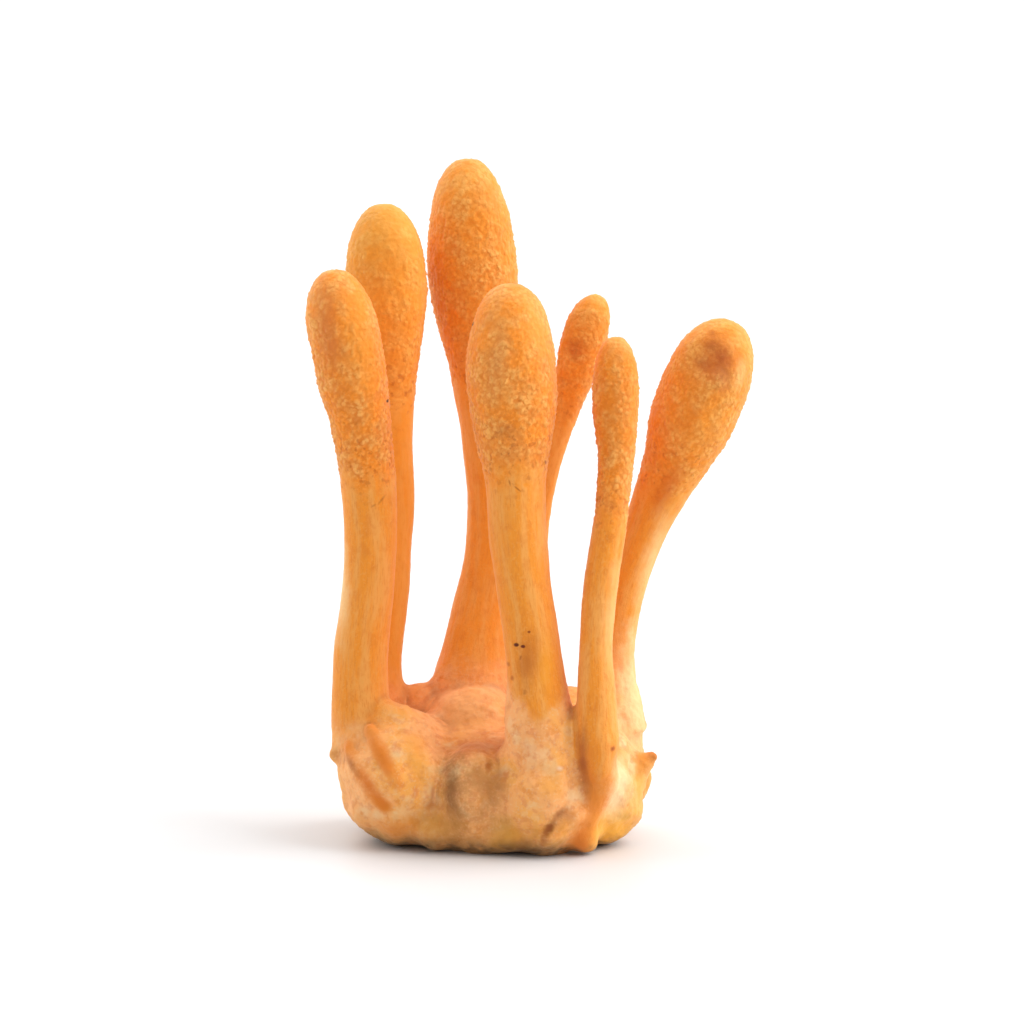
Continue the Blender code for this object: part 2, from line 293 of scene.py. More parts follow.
# Felt ends softly up a foot, but sharply on the front club, where bare flesh reaches down in a wedge
FELT_BLEND = 2.4
FRONT_FELT_BLEND = 0.7
WEDGE_MIDDLE = 3.7
WEDGE_SLOPE = 1.3
WEDGE_DIP = 1.6

# How far out a coloured mark reaches, as a multiple of its half sizes before its edge is made ragged
MARK_REACH = 1.56

# Coloured marks: middle, half sizes, tilt in degrees seen from the front, strength,
# softness of the edge, and colour
# Most are real stains, flecks and patches; some are painted shade and painted highlights, as said above
# each
MARKS = {
    "clubs": [
        # Dark dots on the edges of the front and left clubs
        ((-1.7, -2.9, 43.5), (0.3, 0.9, 0.2), 0, 1.0, 0.3, "#2E0C00"),
        ((-8.7, -2.4, 37.1), (0.34, 0.7, 0.15), 0, 1.0, 0.4, "#4A1800"),
        # Left club: fine cracks at the neck, warmer patches of its head, and painted shade down its left
        # side
        ((-9.2, -4.0, 29.1), (0.16, 0.8, 0.8), 40, 0.55, 1.0, "#A84808"),
        ((-9.9, -4.1, 28.6), (0.14, 0.8, 0.35), 60, 0.5, 1.0, "#A84808"),
        ((-11.6, -5.0, 29.6), (0.16, 0.9, 0.3), -10, 0.6, 0.9, "#C87420"),
        ((-9.4, -4.4, 33.2), (0.2, 0.9, 0.4), 15, 0.6, 0.9, "#C06A1C"),
        ((-12.6, -4.6, 33.6), (0.5, 0.9, 0.45), 0, 0.7, 0.9, "#F08A16"),
        ((-11.2, -5.0, 35.6), (0.9, 1.4, 0.5), -30, 0.5, 1.0, "#C46A22"),
        # Painted shade down the left side of the head
        ((-13.6, -3.8, 43.2), (1.5, 2.8, 5.4), -6, 0.8, 1.0, "#D87430"),
        ((-10.9, -4.4, 42.0), (2.0, 2.8, 6.8), -6, 0.8, 1.0, "#F0922A"),
        # Front club: fine cracks and orange spots at the neck, then painted shade on the left of its head
        # and a painted highlight on its right
        ((1.95, -6.7, 30.3), (0.12, 0.8, 0.5), -50, 0.7, 0.8, "#A04608"),
        ((1.3, -6.7, 30.8), (0.11, 0.8, 0.4), -15, 0.7, 0.8, "#AC5410"),
        ((-0.55, -5.9, 32.0), (0.18, 0.9, 0.35), 15, 0.7, 0.7, "#D8761C"),
        ((3.2, -6.2, 32.2), (0.18, 0.9, 0.4), -8, 0.7, 0.7, "#C96C18"),
        ((4.25, -5.1, 32.3), (0.16, 0.9, 0.3), -20, 0.9, 0.7, "#903A04"),
        ((1.83, -6.9, 35.5), (0.4, 0.9, 0.36), 0, 0.8, 0.7, "#F08A1E"),
        ((2.6, -6.6, 30.6), (0.3, 0.8, 0.25), 0, 0.7, 0.7, "#F0901E"),
        # Painted shade on the left of the head, then a painted highlight on its right side
        ((0.9, -6.8, 35.0), (1.6, 1.8, 1.0), -15, 0.45, 1.0, "#B0652C"),
        ((0.3, -6.6, 40.6), (1.4, 2.4, 4.4), 8, 0.4, 1.0, "#CC8248"),
        ((3.6, -5.0, 43.4), (1.6, 2.6, 4.0), -8, 0.35, 1.0, "#F8AC50"),
        # Front club's foot: brown stain, bright wedge, dark flecks and pits
        ((2.75, -8.4, 16.4), (1.5, 1.9, 4.2), 5, 0.75, 1.0, "#C0681E"),
        ((4.3, -8.0, 15.4), (1.1, 1.9, 4.2), 5, 0.7, 1.0, "#F09A1C"),
        ((1.85, -8.1, 17.6), (0.26, 0.7, 0.2), 0, 1.0, 0.5, "#5E2000"),
        ((2.4, -8.2, 17.5), (0.24, 0.7, 0.17), 0, 1.0, 0.5, "#6A2400"),
        ((2.9, -8.2, 18.7), (0.17, 0.7, 0.14), 0, 0.9, 0.5, "#8A3400"),
        ((1.2, -7.2, 15.9), (0.24, 0.9, 0.3), 0, 0.7, 0.8, "#B05008"),
        ((1.5, -7.8, 14.8), (0.26, 0.8, 0.32), 0, 0.7, 0.8, "#B05008"),
        ((2.2, -8.3, 16.6), (0.14, 0.7, 0.35), 20, 0.6, 0.8, "#A04404"),
        # Dark patch of the back right head
        ((6.9, 5.2, 40.7), (1.5, 1.8, 1.5), 0, 0.55, 1.0, "#B84E10"),
        # Leaning club: bruise, a painted highlight on its head's right flank, painted shade at its neck,
        # and a painted highlight down its stalk's right side
        ((18.2, -1.2, 40.2), (3.4, 3.2, 3.8), 20, 0.6, 1.0, "#C25E26"),
        ((18.9, -0.9, 40.6), (1.1, 2.2, 1.2), 0, 0.55, 1.0, "#A8441C"),
        ((17.2, -1.5, 40.1), (1.2, 2.2, 0.9), 30, 0.5, 1.0, "#AC4C1A"),
        ((18.0, -1.3, 41.5), (1.0, 2.2, 0.8), 0, 0.5, 1.0, "#A44616"),
        ((18.1, -1.2, 42.6), (0.6, 1.8, 0.5), 0, 0.55, 1.0, "#BC5614"),
        ((18.9, -0.9, 38.8), (1.4, 2.2, 1.7), 0, 0.5, 1.0, "#CC8450"),
        # Painted highlight on the head's right flank
        ((20.3, -0.3, 39.0), (0.8, 2.2, 2.0), 15, 0.5, 1.0, "#FFCE88"),
        ((16.4, -1.4, 36.0), (1.6, 2.4, 3.4), 24, 0.35, 1.0, "#D8701C"),
        # Painted shade at the neck, then a painted highlight down the stalk's right side
        ((14.5, 0.1, 29.6), (1.3, 2.4, 4.0), 28, 0.6, 1.0, "#CC6014"),
        ((13.2, 1.2, 22.5), (1.5, 3.0, 7.5), 14, 0.8, 1.0, "#F8C886"),
        # Golden slim head, painted highlights on the left stalk's left edge and the slim stalk's right
        # side, and painted light on the tallest's shaded neck
        ((9.7, -6.0, 36.8), (2.3, 4.0, 8.0), 0, 0.5, 1.0, "#DC7400"),
        # Painted highlights on the stalks' lit edges, then painted light on the tallest's neck, which lies
        # in shade
        ((-12.9, -2.8, 21.5), (1.4, 3.2, 6.5), 0, 0.9, 1.0, "#F6CA8C"),
        ((9.6, -7.8, 20.0), (1.0, 2.4, 7.5), 6, 0.5, 1.0, "#FBC480"),
        ((-2.7, 0.5, 41.0), (2.0, 4.0, 4.5), 0, 0.8, 1.0, "#FBB44C"),
    ],
    "cushion": [
        # Painted shade in the front valley, in its deep cleft and on the lump beside it
        ((-1.8, -6.0, 8.9), (4.4, 3.4, 2.0), 0, 0.8, 1.0, "#C4682F"),
        ((-3.4, -7.9, 5.4), (1.6, 3.6, 5.6), -4, 0.9, 1.0, "#7C4C1E"),
        ((-1.0, -8.4, 5.6), (3.0, 2.6, 4.6), 0, 0.8, 1.0, "#A87038"),
        # Shade beside the slim club's root, then yellow, mustard and cream patches
        ((7.3, -9.4, 8.4), (0.7, 1.6, 4.0), 0, 0.7, 1.0, "#9A4A20"),
        ((4.8, -10.1, 6.2), (2.2, 1.9, 1.9), 10, 0.6, 1.0, "#EFA03A"),
        ((9.6, -6.8, 1.8), (4.4, 4.6, 3.2), 0, 1.0, 1.0, "#FFB640"),
        ((12.1, -4.7, 4.9), (1.9, 2.4, 3.4), 15, 0.65, 1.0, "#F2AA40"),
        ((-7.9, -6.8, 2.2), (3.2, 2.6, 1.8), -15, 0.7, 1.0, "#E0862A"),
        ((-4.6, -8.0, 2.6), (3.4, 2.8, 2.2), 0, 0.65, 1.0, "#CC8A36"),
        ((0.9, -8.8, 2.7), (1.6, 2.0, 1.6), 0, 0.5, 1.0, "#C28C34"),
        ((10.2, -7.4, 5.8), (1.7, 2.6, 4.4), 10, 0.8, 1.0, "#F8DCAA"),
        # Pit, white fleck, dark dot, greenish patch and the nub's brown tip
        ((-0.4, -7.7, 7.5), (0.5, 1.1, 0.9), 0, 0.7, 1.0, "#BC6A20"),
        ((5.4, -9.8, 7.7), (0.4, 0.8, 0.3), 20, 0.5, 1.0, "#FBE4C8"),
        ((9.7, -9.7, 9.3), (0.36, 1.0, 0.36), 0, 0.8, 0.9, "#8A3004"),
        ((10.9, -6.3, 3.1), (1.0, 1.6, 0.9), 0, 0.25, 1.0, "#8E7A44"),
        ((13.4, -4.2, 7.8), (1.3, 1.6, 1.1), 0, 0.7, 1.0, "#B4601C"),
        # Front curl with painted shade along its crease, its nodule, and the root's end
        ((4.2, -9.7, 2.0), (0.6, 1.2, 1.7), 18, 0.6, 1.0, "#964C1E"),
        ((4.8, -9.9, 3.1), (0.55, 1.2, 1.7), 32, 0.65, 1.0, "#8A4218"),
        ((5.5, -9.9, 4.0), (0.55, 1.2, 1.3), 62, 0.6, 1.0, "#8A4218"),
        ((6.2, -9.9, 3.7), (1.0, 1.2, 0.8), 0, 0.7, 1.0, "#B8641A"),
        ((5.7, -9.9, 2.6), (0.9, 1.1, 1.2), 20, 0.6, 1.0, "#EE9A34"),
        ((7.3, -8.2, 2.0), (1.7, 2.8, 4.2), 14, 0.85, 1.0, "#E57A24"),
        # Left flap and the two orange ridges
        ((-13.2, -3.3, 7.7), (1.0, 1.4, 0.9), 0, 0.5, 1.0, "#A86A30"),
        ((-9.1, -6.8, 8.0), (1.0, 3.0, 3.8), -30, 0.9, 1.0, "#E07A1E"),
        ((-10.3, -6.6, 5.9), (0.9, 3.0, 3.8), -38, 0.9, 1.0, "#DA7014"),
        ((-11.6, -6.0, 7.2), (0.5, 2.0, 1.8), -38, 0.6, 1.0, "#A05A28"),
        # Blush on the front sheath, and painted light on the pale mound in the middle
        ((3.2, -9.3, 9.0), (2.4, 1.6, 3.6), 0, 0.35, 1.0, "#DC8A58"),
        ((-2.4, -0.3, 10.6), (5.0, 4.5, 3.4), 0, 0.55, 1.0, "#FFC27A"),
    ],
    "both": [
        # Painted reddish shade in the hollow behind the left foot, and cream felt up the leaning club's
        # foot
        ((-5.8, 0.0, 12.8), (1.8, 3.5, 1.8), 0, 0.6, 1.0, "#B4622E"),
        ((12.2, 0.9, 12.0), (3.0, 5.0, 8.5), 0, 0.85, 1.0, "#F8D49C"),
    ],
}

# The light tent is brightest towards this side, behind and above. The camera sees it as plain white
TENT_SIDE = (0.15, 0.72, 0.68)
SEEN_BACKGROUND = 1.1

# The photograph's view, in the object's frame
CAMERA = {"target": (1.5, 0.0, 27.56), "distance": 340.0, "elevation": 7.0, "lens": 143.4}


def linear(hex_colour):
    """sRGB hex colour as linear red, green, blue and alpha."""
    channels = [int(hex_colour[i : i + 2], 16) / 255 for i in (1, 3, 5)]
    return (*[c / 12.92 if c <= 0.04045 else ((c + 0.055) / 1.055) ** 2.4 for c in channels], 1.0)


def colour(label, hex_colour, description):
    return FloatVectorProperty(
        name=label,
        description=description,
        subtype="COLOR",
        size=4,
        min=0,
        max=1,
        default=linear(hex_colour),
    )


def length(label, millimetres, description):
    return FloatProperty(
        name=label, description=description, unit="LENGTH", precision=5, min=0, default=millimetres * MM
    )


def light_strength(label, default, description):
    return FloatProperty(name=label, description=description, min=0, default=default)


class CordycepsRelief(bpy.types.PropertyGroup):
    voxel: length("Skin voxel", 0.3, "Grain of the skin before it is subdivided once")
    pebble_spacing: length("Pebble spacing", 0.42, "Least distance between two fruiting pebbles of a head")
    pebble_height: length("Pebble height", 0.13, "Depth of the pits between the pebbles")
    fibre_depth: length("Fibre depth", 0.045, "Depth of the fine lengthwise fibres of the stalks")
    grain_height: length("Grain height", 0.03, "Height of the mealy grains all over")
    felt_height: length("Felt height", 0.16, "Height of the felt's small humps on the cushion")
    seed: IntProperty(name="Seed", description="Scatter of the pebbles", default=7)


class CordycepsColours(bpy.types.PropertyGroup):
    crest: colour("Pebble crest", "#F9B05A", "Mealy top of a pebble")
    pit: colour("Pit", "#DC7414", "Bare orange flesh between pebbles")
    head_glow: colour("Head, yellow", "#F99126", "Yellow-orange areas of a head")
    head_dull: colour("Head, dull", "#DE8436", "Older areas of a head")
    speck: colour("Speck", "#B4500A", "Dried specks round the neck of a head")
    stalk_peach: colour("Stalk, peach", "#EFA654", "Mealy bands of a stalk")
    stalk_orange: colour("Stalk, orange", "#EF9128", "Clear yellow-orange bands of a stalk")
    fibre: colour("Fibre", "#DC7820", "Darker lengthwise fibres")
    ripe: colour("Ripe", "#EDA838", "Flesh of the riper clubs")
    felt: colour("Felt", "#F9B06C", "Peach mycelium of the cushion")
    felt_blush: colour("Felt, blush", "#E08A54", "Flesh that shows through thin mycelium")
    felt_cream: colour("Felt, cream", "#F3CE9C", "Thick dry mycelium")
    felt_yellow: colour("Felt, yellow", "#F7AA44", "Yellow patches of the mycelium")
    felt_mustard: colour("Felt, mustard", "#D9963A", "Older mycelium near the cut")
    # Darker brown towards the flat underside
    bottom_darkening: colour("Cut edge", "#5E3C18", "Stained mycelium at the cut")
    # Painted shade: reddish brown laid into the creases, fullest where they are deepest
    crease_shade: colour("Crease", "#A85626", "Reddish flesh deep in the creases")
    growth_orange: colour("Orange growths", "#E07E24", "Ridges and roots of bare flesh")
    growth_yellow: colour("Yellow growths", "#F3A03A", "Young buds")


class CordycepsStudio(bpy.types.PropertyGroup):
    key: light_strength("Key", 2.8, "Strength of the key light")
    rim: light_strength("Rim", 1.6, "Strength of the rim light")
    tent_bright: light_strength("Tent, bright side", 1.05, "Light tent above and behind")
    tent_dim: light_strength("Tent, dim side", 0.14, "Light tent below and in front")
    floor: colour("Floor", "#DEDFE0", "Pale paper floor")


def hermite(a, b, slope_a, slope_b, span, t):
    """Value at share t between a and b, with the given slopes at its ends."""
    t2 = t * t
    t3 = t2 * t
    start = a * (2 * t3 - 3 * t2 + 1) + slope_a * (span * (t3 - 2 * t2 + t))
    return start + b * (3 * t2 - 2 * t3) + slope_b * (span * (t3 - t2))


def slopes_through(values, places):
    """Slope at each value, from the values before and after it."""
    slopes = []
    for i in range(len(values)):
        before = max(i - 1, 0)
        after = min(i + 1, len(values) - 1)
        slopes.append((values[after] - values[before]) / (places[after] - places[before]))
    return slopes


def club_rings(club, ring_step, tip_rings):
    """Rings (centre, radius) up a club: a smooth curve through its stations, then the rounded tip."""
    centres = [Vector(station[:3]) for station in club["stations"]] + [Vector(club["tip"])]
    radii = [station[3] for station in club["stations"]]
    places = [0.0]
    for below, above in zip(centres, centres[1:]):
        places.append(places[-1] + (above - below).length)
    centre_slopes = slopes_through(centres, places)
    radius_slopes = slopes_through(radii, places)
    radius_slopes[-1] = 0.0

    rings = []
    for i in range(len(radii) - 1):
        span = places[i + 1] - places[i]
        count = max(1, round(span / ring_step))
        for j in range(count):
            t = j / count
            centre = hermite(centres[i], centres[i + 1], centre_slopes[i], centre_slopes[i + 1], span, t)
            radius = hermite(radii[i], radii[i + 1], radius_slopes[i], radius_slopes[i + 1], span, t)
            rings.append((centre, radius))

    span = places[-1] - places[-2]
    for j in range(tip_rings + 1):
        t = TIP_END * math.sin(math.pi / 2 * j / tip_rings)
        centre = hermite(centres[-2], centres[-1], centre_slopes[-2], centre_slopes[-1], span, t)
        radius = radii[-1] * (1 - t**TIP_BLUNTNESS) ** (1 / TIP_BLUNTNESS)
        rings.append((centre, radius))
    return rings


def tube_mesh(name, rings, sides):
    """Closed tube through the rings, made as a bevelled curve and turned into a mesh."""
    curve = bpy.data.curves.new(name, "CURVE")
    curve.dimensions = "3D"
    curve.bevel_depth = MM
    curve.bevel_resolution = sides // 2 - 2
    curve.use_fill_caps = True
    spline = curve.splines.new("POLY")
    spline.points.add(len(rings) - 1)
    for point, (centre, radius) in zip(spline.points, rings):
        point.co = (*(centre * MM), 1.0)
        point.radius = radius
    holder = bpy.data.objects.new(name + "_curve", curve)
    mesh = finished_mesh(holder)
    shape = bmesh.new()
    shape.from_mesh(mesh)
    bmesh.ops.remove_doubles(shape, verts=shape.verts, dist=WELD_DISTANCE * MM)
    bmesh.ops.recalc_face_normals(shape, faces=shape.faces)
    shape.to_mesh(mesh)
    shape.free()
    return mesh


def finished_mesh(holder):
    """Mesh of an object with its modifiers applied. The object itself is removed."""
    bpy.context.scene.collection.objects.link(holder)
    graph = bpy.context.evaluated_depsgraph_get()
    mesh = bpy.data.meshes.new_from_object(holder.evaluated_get(graph))
    bpy.data.objects.remove(holder, do_unlink=True)
    return mesh


def roughen_club(mesh, rings):
    """Move each point in or out a little, so that the club isn't a perfect turned shape."""
    for vertex in mesh.vertices:
        place = vertex.co / MM
        centre, radius = min(rings, key=lambda ring: (ring[0] - place).length_squared)
        outward = place - centre
        if outward.length > CORE_SHARE * radius:
            swell = noise.noise(place / UNEVEN_SCALE)
            vertex.co += outward.normalized() * (swell * UNEVEN_SHARE * radius * MM)


def points_of(mesh, what="co"):
    """Places of a mesh's points, or their normals, as rows of three numbers."""
    values = np.empty(len(mesh.vertices) * 3, np.float32)
    if what == "co":
        mesh.vertices.foreach_get("co", values)
    else:
        mesh.vertex_normals.foreach_get("vector", values)
    return values.reshape(-1, 3).astype(float)


def move_points(mesh, outwards):
    """Move each point along its normal, by so many millimetres."""
    moved = points_of(mesh) + points_of(mesh, "normal") * outwards[:, None] * MM
    mesh.vertices.foreach_set("co", moved.astype(np.float32).ravel())
    mesh.update()


def press_hollow(mesh, centre, reach, depth):
    """Push the points near a place on the surface inwards, most in the middle."""
    distance = np.linalg.norm(points_of(mesh) / MM - np.array(centre), axis=1)
    share = (1 + np.cos(np.pi * np.minimum(distance / reach, 1.0))) / 2
    move_points(mesh, -depth * share)


def add_ball(shape, centre, half_sizes, subdivisions=4):
    place = Matrix.Translation(Vector(centre) * MM)
    size = Matrix.Diagonal((*(Vector(half_sizes) * MM), 1.0))
    bmesh.ops.create_icosphere(shape, subdivisions=subdivisions, radius=1.0, matrix=place @ size)


def add_growth(shape, points):
    """Overlapping balls along a growth, which the remeshing melts into one ridge or bud."""
    for (*start, start_radius), (*end, end_radius) in zip(points, points[1:]):
        a = Vector(start)
        b = Vector(end)
        count = max(1, math.ceil((b - a).length / GROWTH_STEP))
        for j in range(count + 1):
            t = j / count
            radius = start_radius + (end_radius - start_radius) * t
            add_ball(shape, a.lerp(b, t), (radius,) * 3, subdivisions=3)


def growth_blank():
    """All that the cluster is fused from, as one mesh of overlapping closed shapes."""
    shape = bmesh.new()
    for centre, half_sizes in LOBES:
        add_ball(shape, centre, half_sizes)
    for points in GROWTHS.values():
        add_growth(shape, points)
    for name, club in CLUBS.items():
        rings = club_rings(club, RING_STEP, TIP_RINGS)
        tube = tube_mesh(name, rings, TUBE_SIDES)
        roughen_club(tube, rings)
        shape.from_mesh(tube)
        bpy.data.meshes.remove(tube)
    mesh = bpy.data.meshes.new("growth_blank")
    shape.to_mesh(mesh)
    shape.free()
    return mesh


def add_lumps(mesh):
    """Uneven lumps of mycelium, fading out towards the fork where the clubs begin."""
    places = points_of(mesh) / MM
    fade = np.clip((LUMPS_END - places[:, 2]) / LUMPS_FADE, 0, 1)
    move_points(mesh, fade * soft_noise(places, LUMP_SCALE) * LUMP_HEIGHT)


def cut_skin(mesh):
    """Cut the skin off flat beneath, close the cut, and part its faces along the fork's level."""
    shape = bmesh.new()
    shape.from_mesh(mesh)
    everything = shape.verts[:] + shape.edges[:] + shape.faces[:]
    bmesh.ops.bisect_plane(shape, geom=everything, plane_co=(0, 0, 0), plane_no=UP, clear_inner=True)
    rim = [edge for edge in shape.edges if edge.is_boundary]
    bmesh.ops.contextual_create(shape, geom=rim)
    everything = shape.verts[:] + shape.edges[:] + shape.faces[:]
    bmesh.ops.bisect_plane(shape, geom=everything, plane_co=(0, 0, FORK_HEIGHT * MM), plane_no=UP)
    bmesh.ops.recalc_face_normals(shape, faces=shape.faces)
    shape.to_mesh(mesh)
    shape.free()


def fused_skin(voxel):
    """One smooth closed skin round the clubs, the cushion and its growths, cut flat beneath."""
    holder = bpy.data.objects.new("fusing", growth_blank())
    remesh = holder.modifiers.new("one skin", "REMESH")
    remesh.mode = "VOXEL"
    remesh.voxel_size = voxel
    soften = holder.modifiers.new("soften creases", "SMOOTH")
    soften.factor = 0.5
    soften.iterations = SKIN_SMOOTHING
    mesh = finished_mesh(holder)
    add_lumps(mesh)
    for centre, reach, depth in HOLLOWS.values():
        press_hollow(mesh, centre, reach, depth)
    fill_creases(mesh)
    describe_skin(mesh)
    holder = bpy.data.objects.new("fining", mesh)
    finer = holder.modifiers.new("finer faces", "SUBSURF")
    finer.levels = 1
    finer.render_levels = 1
    skin = finished_mesh(holder)
    cut_skin(skin)
    return skin


def smoothstep(low, high, value):
    t = np.clip((value - low) / (high - low), 0, 1)
    return t * t * (3 - 2 * t)


def soft_noise(places, size, offset=0.0):
    """Smooth noise between about -1 and 1 at each place."""
    shift = Vector((offset, -offset, 2 * offset))
    return np.array([noise.noise(Vector(place) / size + shift) for place in places])


def nearest_on_path(places, path):
    """For each place: its distance to a path, how far along, the nearest point, and its leg and share."""
    best = np.full(len(places), np.inf)
    along = np.zeros(len(places))
    nearest = np.zeros((len(places), 3))
    leg = np.zeros(len(places))
    travelled = 0.0
    for i in range(len(path) - 1):
        step = path[i + 1] - path[i]
        share = np.clip((places - path[i]) @ step / (step @ step), 0, 1)
        point = path[i] + share[:, None] * step
        distance = np.linalg.norm(places - point, axis=1)
        closer = distance < best
        best[closer] = distance[closer]
        nearest[closer] = point[closer]
        along[closer] = travelled + share[closer] * np.linalg.norm(step)
        leg[closer] = i + share[closer]
        travelled += np.linalg.norm(step)
    return best, along, nearest, leg


def edge_ends(mesh):
    """Numbers of the points at the two ends of each edge, as two rows."""
    ends = np.empty(len(mesh.edges) * 2, np.int32)
    mesh.edges.foreach_get("vertices", ends)
    return ends.reshape(-1, 2).T


def creases_of(mesh, places, normals, blur_steps):
    """Millimetres that each point lies deep in a crease (positive) or stands out on a hump (negative)."""
    a, b = edge_ends(mesh)
    count = np.bincount(a, minlength=len(places)) + np.bincount(b, minlength=len(places))
    blurred = places.copy()
    for _ in range(blur_steps):
        total = np.stack(
            [
                np.bincount(a, blurred[b, k], len(places)) + np.bincount(b, blurred[a, k], len(places))
                for k in range(3)
            ],
            axis=1,
        )
        blurred = total / count[:, None]
    return np.einsum("ij,ij->i", blurred - places, normals)


def fill_creases(mesh):
    """Fill the creases between the cushion's lobes with mycelium, but none above the fork."""
    places = points_of(mesh) / MM
    depth = creases_of(mesh, places, points_of(mesh, "normal"), FILL_BLUR_STEPS)
    fade = np.clip((FILL_END - places[:, 2]) / FILL_FADE, 0, 1)
    move_points(mesh, np.clip(depth, 0, None) * fade * CREASES_FILLED)


def growth_mask(places, names):
    """1 on the named growths, falling to 0 just beside them."""
    mask = np.zeros(len(places))
    for name in names:
        path = np.array(GROWTHS[name])
        distance, _, _, leg = nearest_on_path(places, path[:, :3])
        radius = np.interp(leg, np.arange(len(path)), path[:, 3])
        mask = np.maximum(mask, 1 - smoothstep(-0.35, 0.3, distance - radius))
    return mask


def describe_skin(mesh):
    """Store on each point what grows there: head, stalk or felt, and where it lies along its club."""
    places = points_of(mesh) / MM
    normals = points_of(mesh, "normal")
    height = places[:, 2]
    wobble = soft_noise(places, 1.3)
    fine_wobble = soft_noise(places, 0.5, offset=3.0)

    gap = np.full(len(places), np.inf)
    found = {}
    for key in ("club", "neck", "smooth_tip", "pebbles", "ripe", "felt_top", "to_tip"):
        found[key] = np.zeros(len(places))
    fibre = np.zeros((len(places), 3))
    for number, club in enumerate(CLUBS.values()):
        rings = club_rings(club, RING_STEP * 2, TIP_RINGS // 2)
        path = np.array([ring[0] for ring in rings])
        radii = np.array([ring[1] for ring in rings])
        distance, along, nearest, leg = nearest_on_path(places, path)
        clear = distance - np.interp(leg, np.arange(len(radii)), radii)
        mine = clear < gap
        gap[mine] = clear[mine]
        whole = np.linalg.norm(np.diff(path, axis=0), axis=1).sum()
        found["club"][mine] = number
        found["to_tip"][mine] = (whole - along)[mine]
        for key in ("neck", "smooth_tip", "pebbles", "ripe", "felt_top"):
            found[key][mine] = club[key]
        fibre[mine] = np.column_stack([(places - nearest)[:, :2], along])[mine]

    above_neck = height - found["neck"]
    fertile = smoothstep(-NECK_BLEND, NECK_BLEND, above_neck + 1.4 * wobble + 0.8 * fine_wobble)
    tip = smoothstep(0.25, 1.0, found["to_tip"] / (found["smooth_tip"] + 0.01))
    pebbling = fertile * (0.5 + 0.5 * tip) * found["pebbles"]

    on_front = found["club"] == list(CLUBS).index("club_front")
    wedge = np.abs(places[:, 0] - WEDGE_MIDDLE) * WEDGE_SLOPE - WEDGE_DIP
    felt_top = found["felt_top"] + np.where(on_front, wedge, 0)
    edge = np.where(on_front, FRONT_FELT_BLEND, FELT_BLEND)
    felt = 1 - smoothstep(-edge, edge, height - felt_top + 0.7 * wobble + 0.4 * fine_wobble)
    felt = np.maximum(felt, smoothstep(0.2, 2.2, gap + 0.4 * wobble))
    orange = growth_mask(places, ORANGE_GROWTHS)
    yellow = growth_mask(places, YELLOW_GROWTHS)
    felt = felt * (1 - orange)
    from_specks = (above_neck - SPECKS_ABOVE_NECK) / SPECKS_SPREAD
    # How deep each point lies in a crease, which the material turns into painted shade
    crease_shade = creases_of(mesh, places, normals, CREASE_BLUR_STEPS) / FULL_CREASE_SHADE

    store(mesh, "fertile", fertile)
    store(mesh, "pebbling", pebbling)
    store(mesh, "neck_band", found["pebbles"] * np.exp(-(from_specks**2)))
    store(mesh, "felt", felt)
    store(mesh, "growth_orange", orange)
    store(mesh, "growth_yellow", yellow)
    store(mesh, "ripe", found["ripe"])
    store(mesh, "crease_shade", np.clip(crease_shade, -1, 1))
    store(mesh, "fibre", fibre)


def store(mesh, name, values):
    vector = values.ndim == 2
    attribute = mesh.attributes.new(name, "FLOAT_VECTOR" if vector else "FLOAT", "POINT")
    attribute.data.foreach_set("vector" if vector else "value", values.astype(np.float32).ravel())


def add_node(tree, kind, inputs=None, **settings):
    """Add a node. inputs maps a socket's name or number to a value or to another node's output."""
    node = tree.nodes.new(kind)
    for name, value in settings.items():
        setattr(node, name, value)
    for socket, value in (inputs or {}).items():
        if isinstance(value, bpy.types.NodeSocket):
            tree.links.new(value, node.inputs[socket])
        else:
            node.inputs[socket].default_value = value
    return node


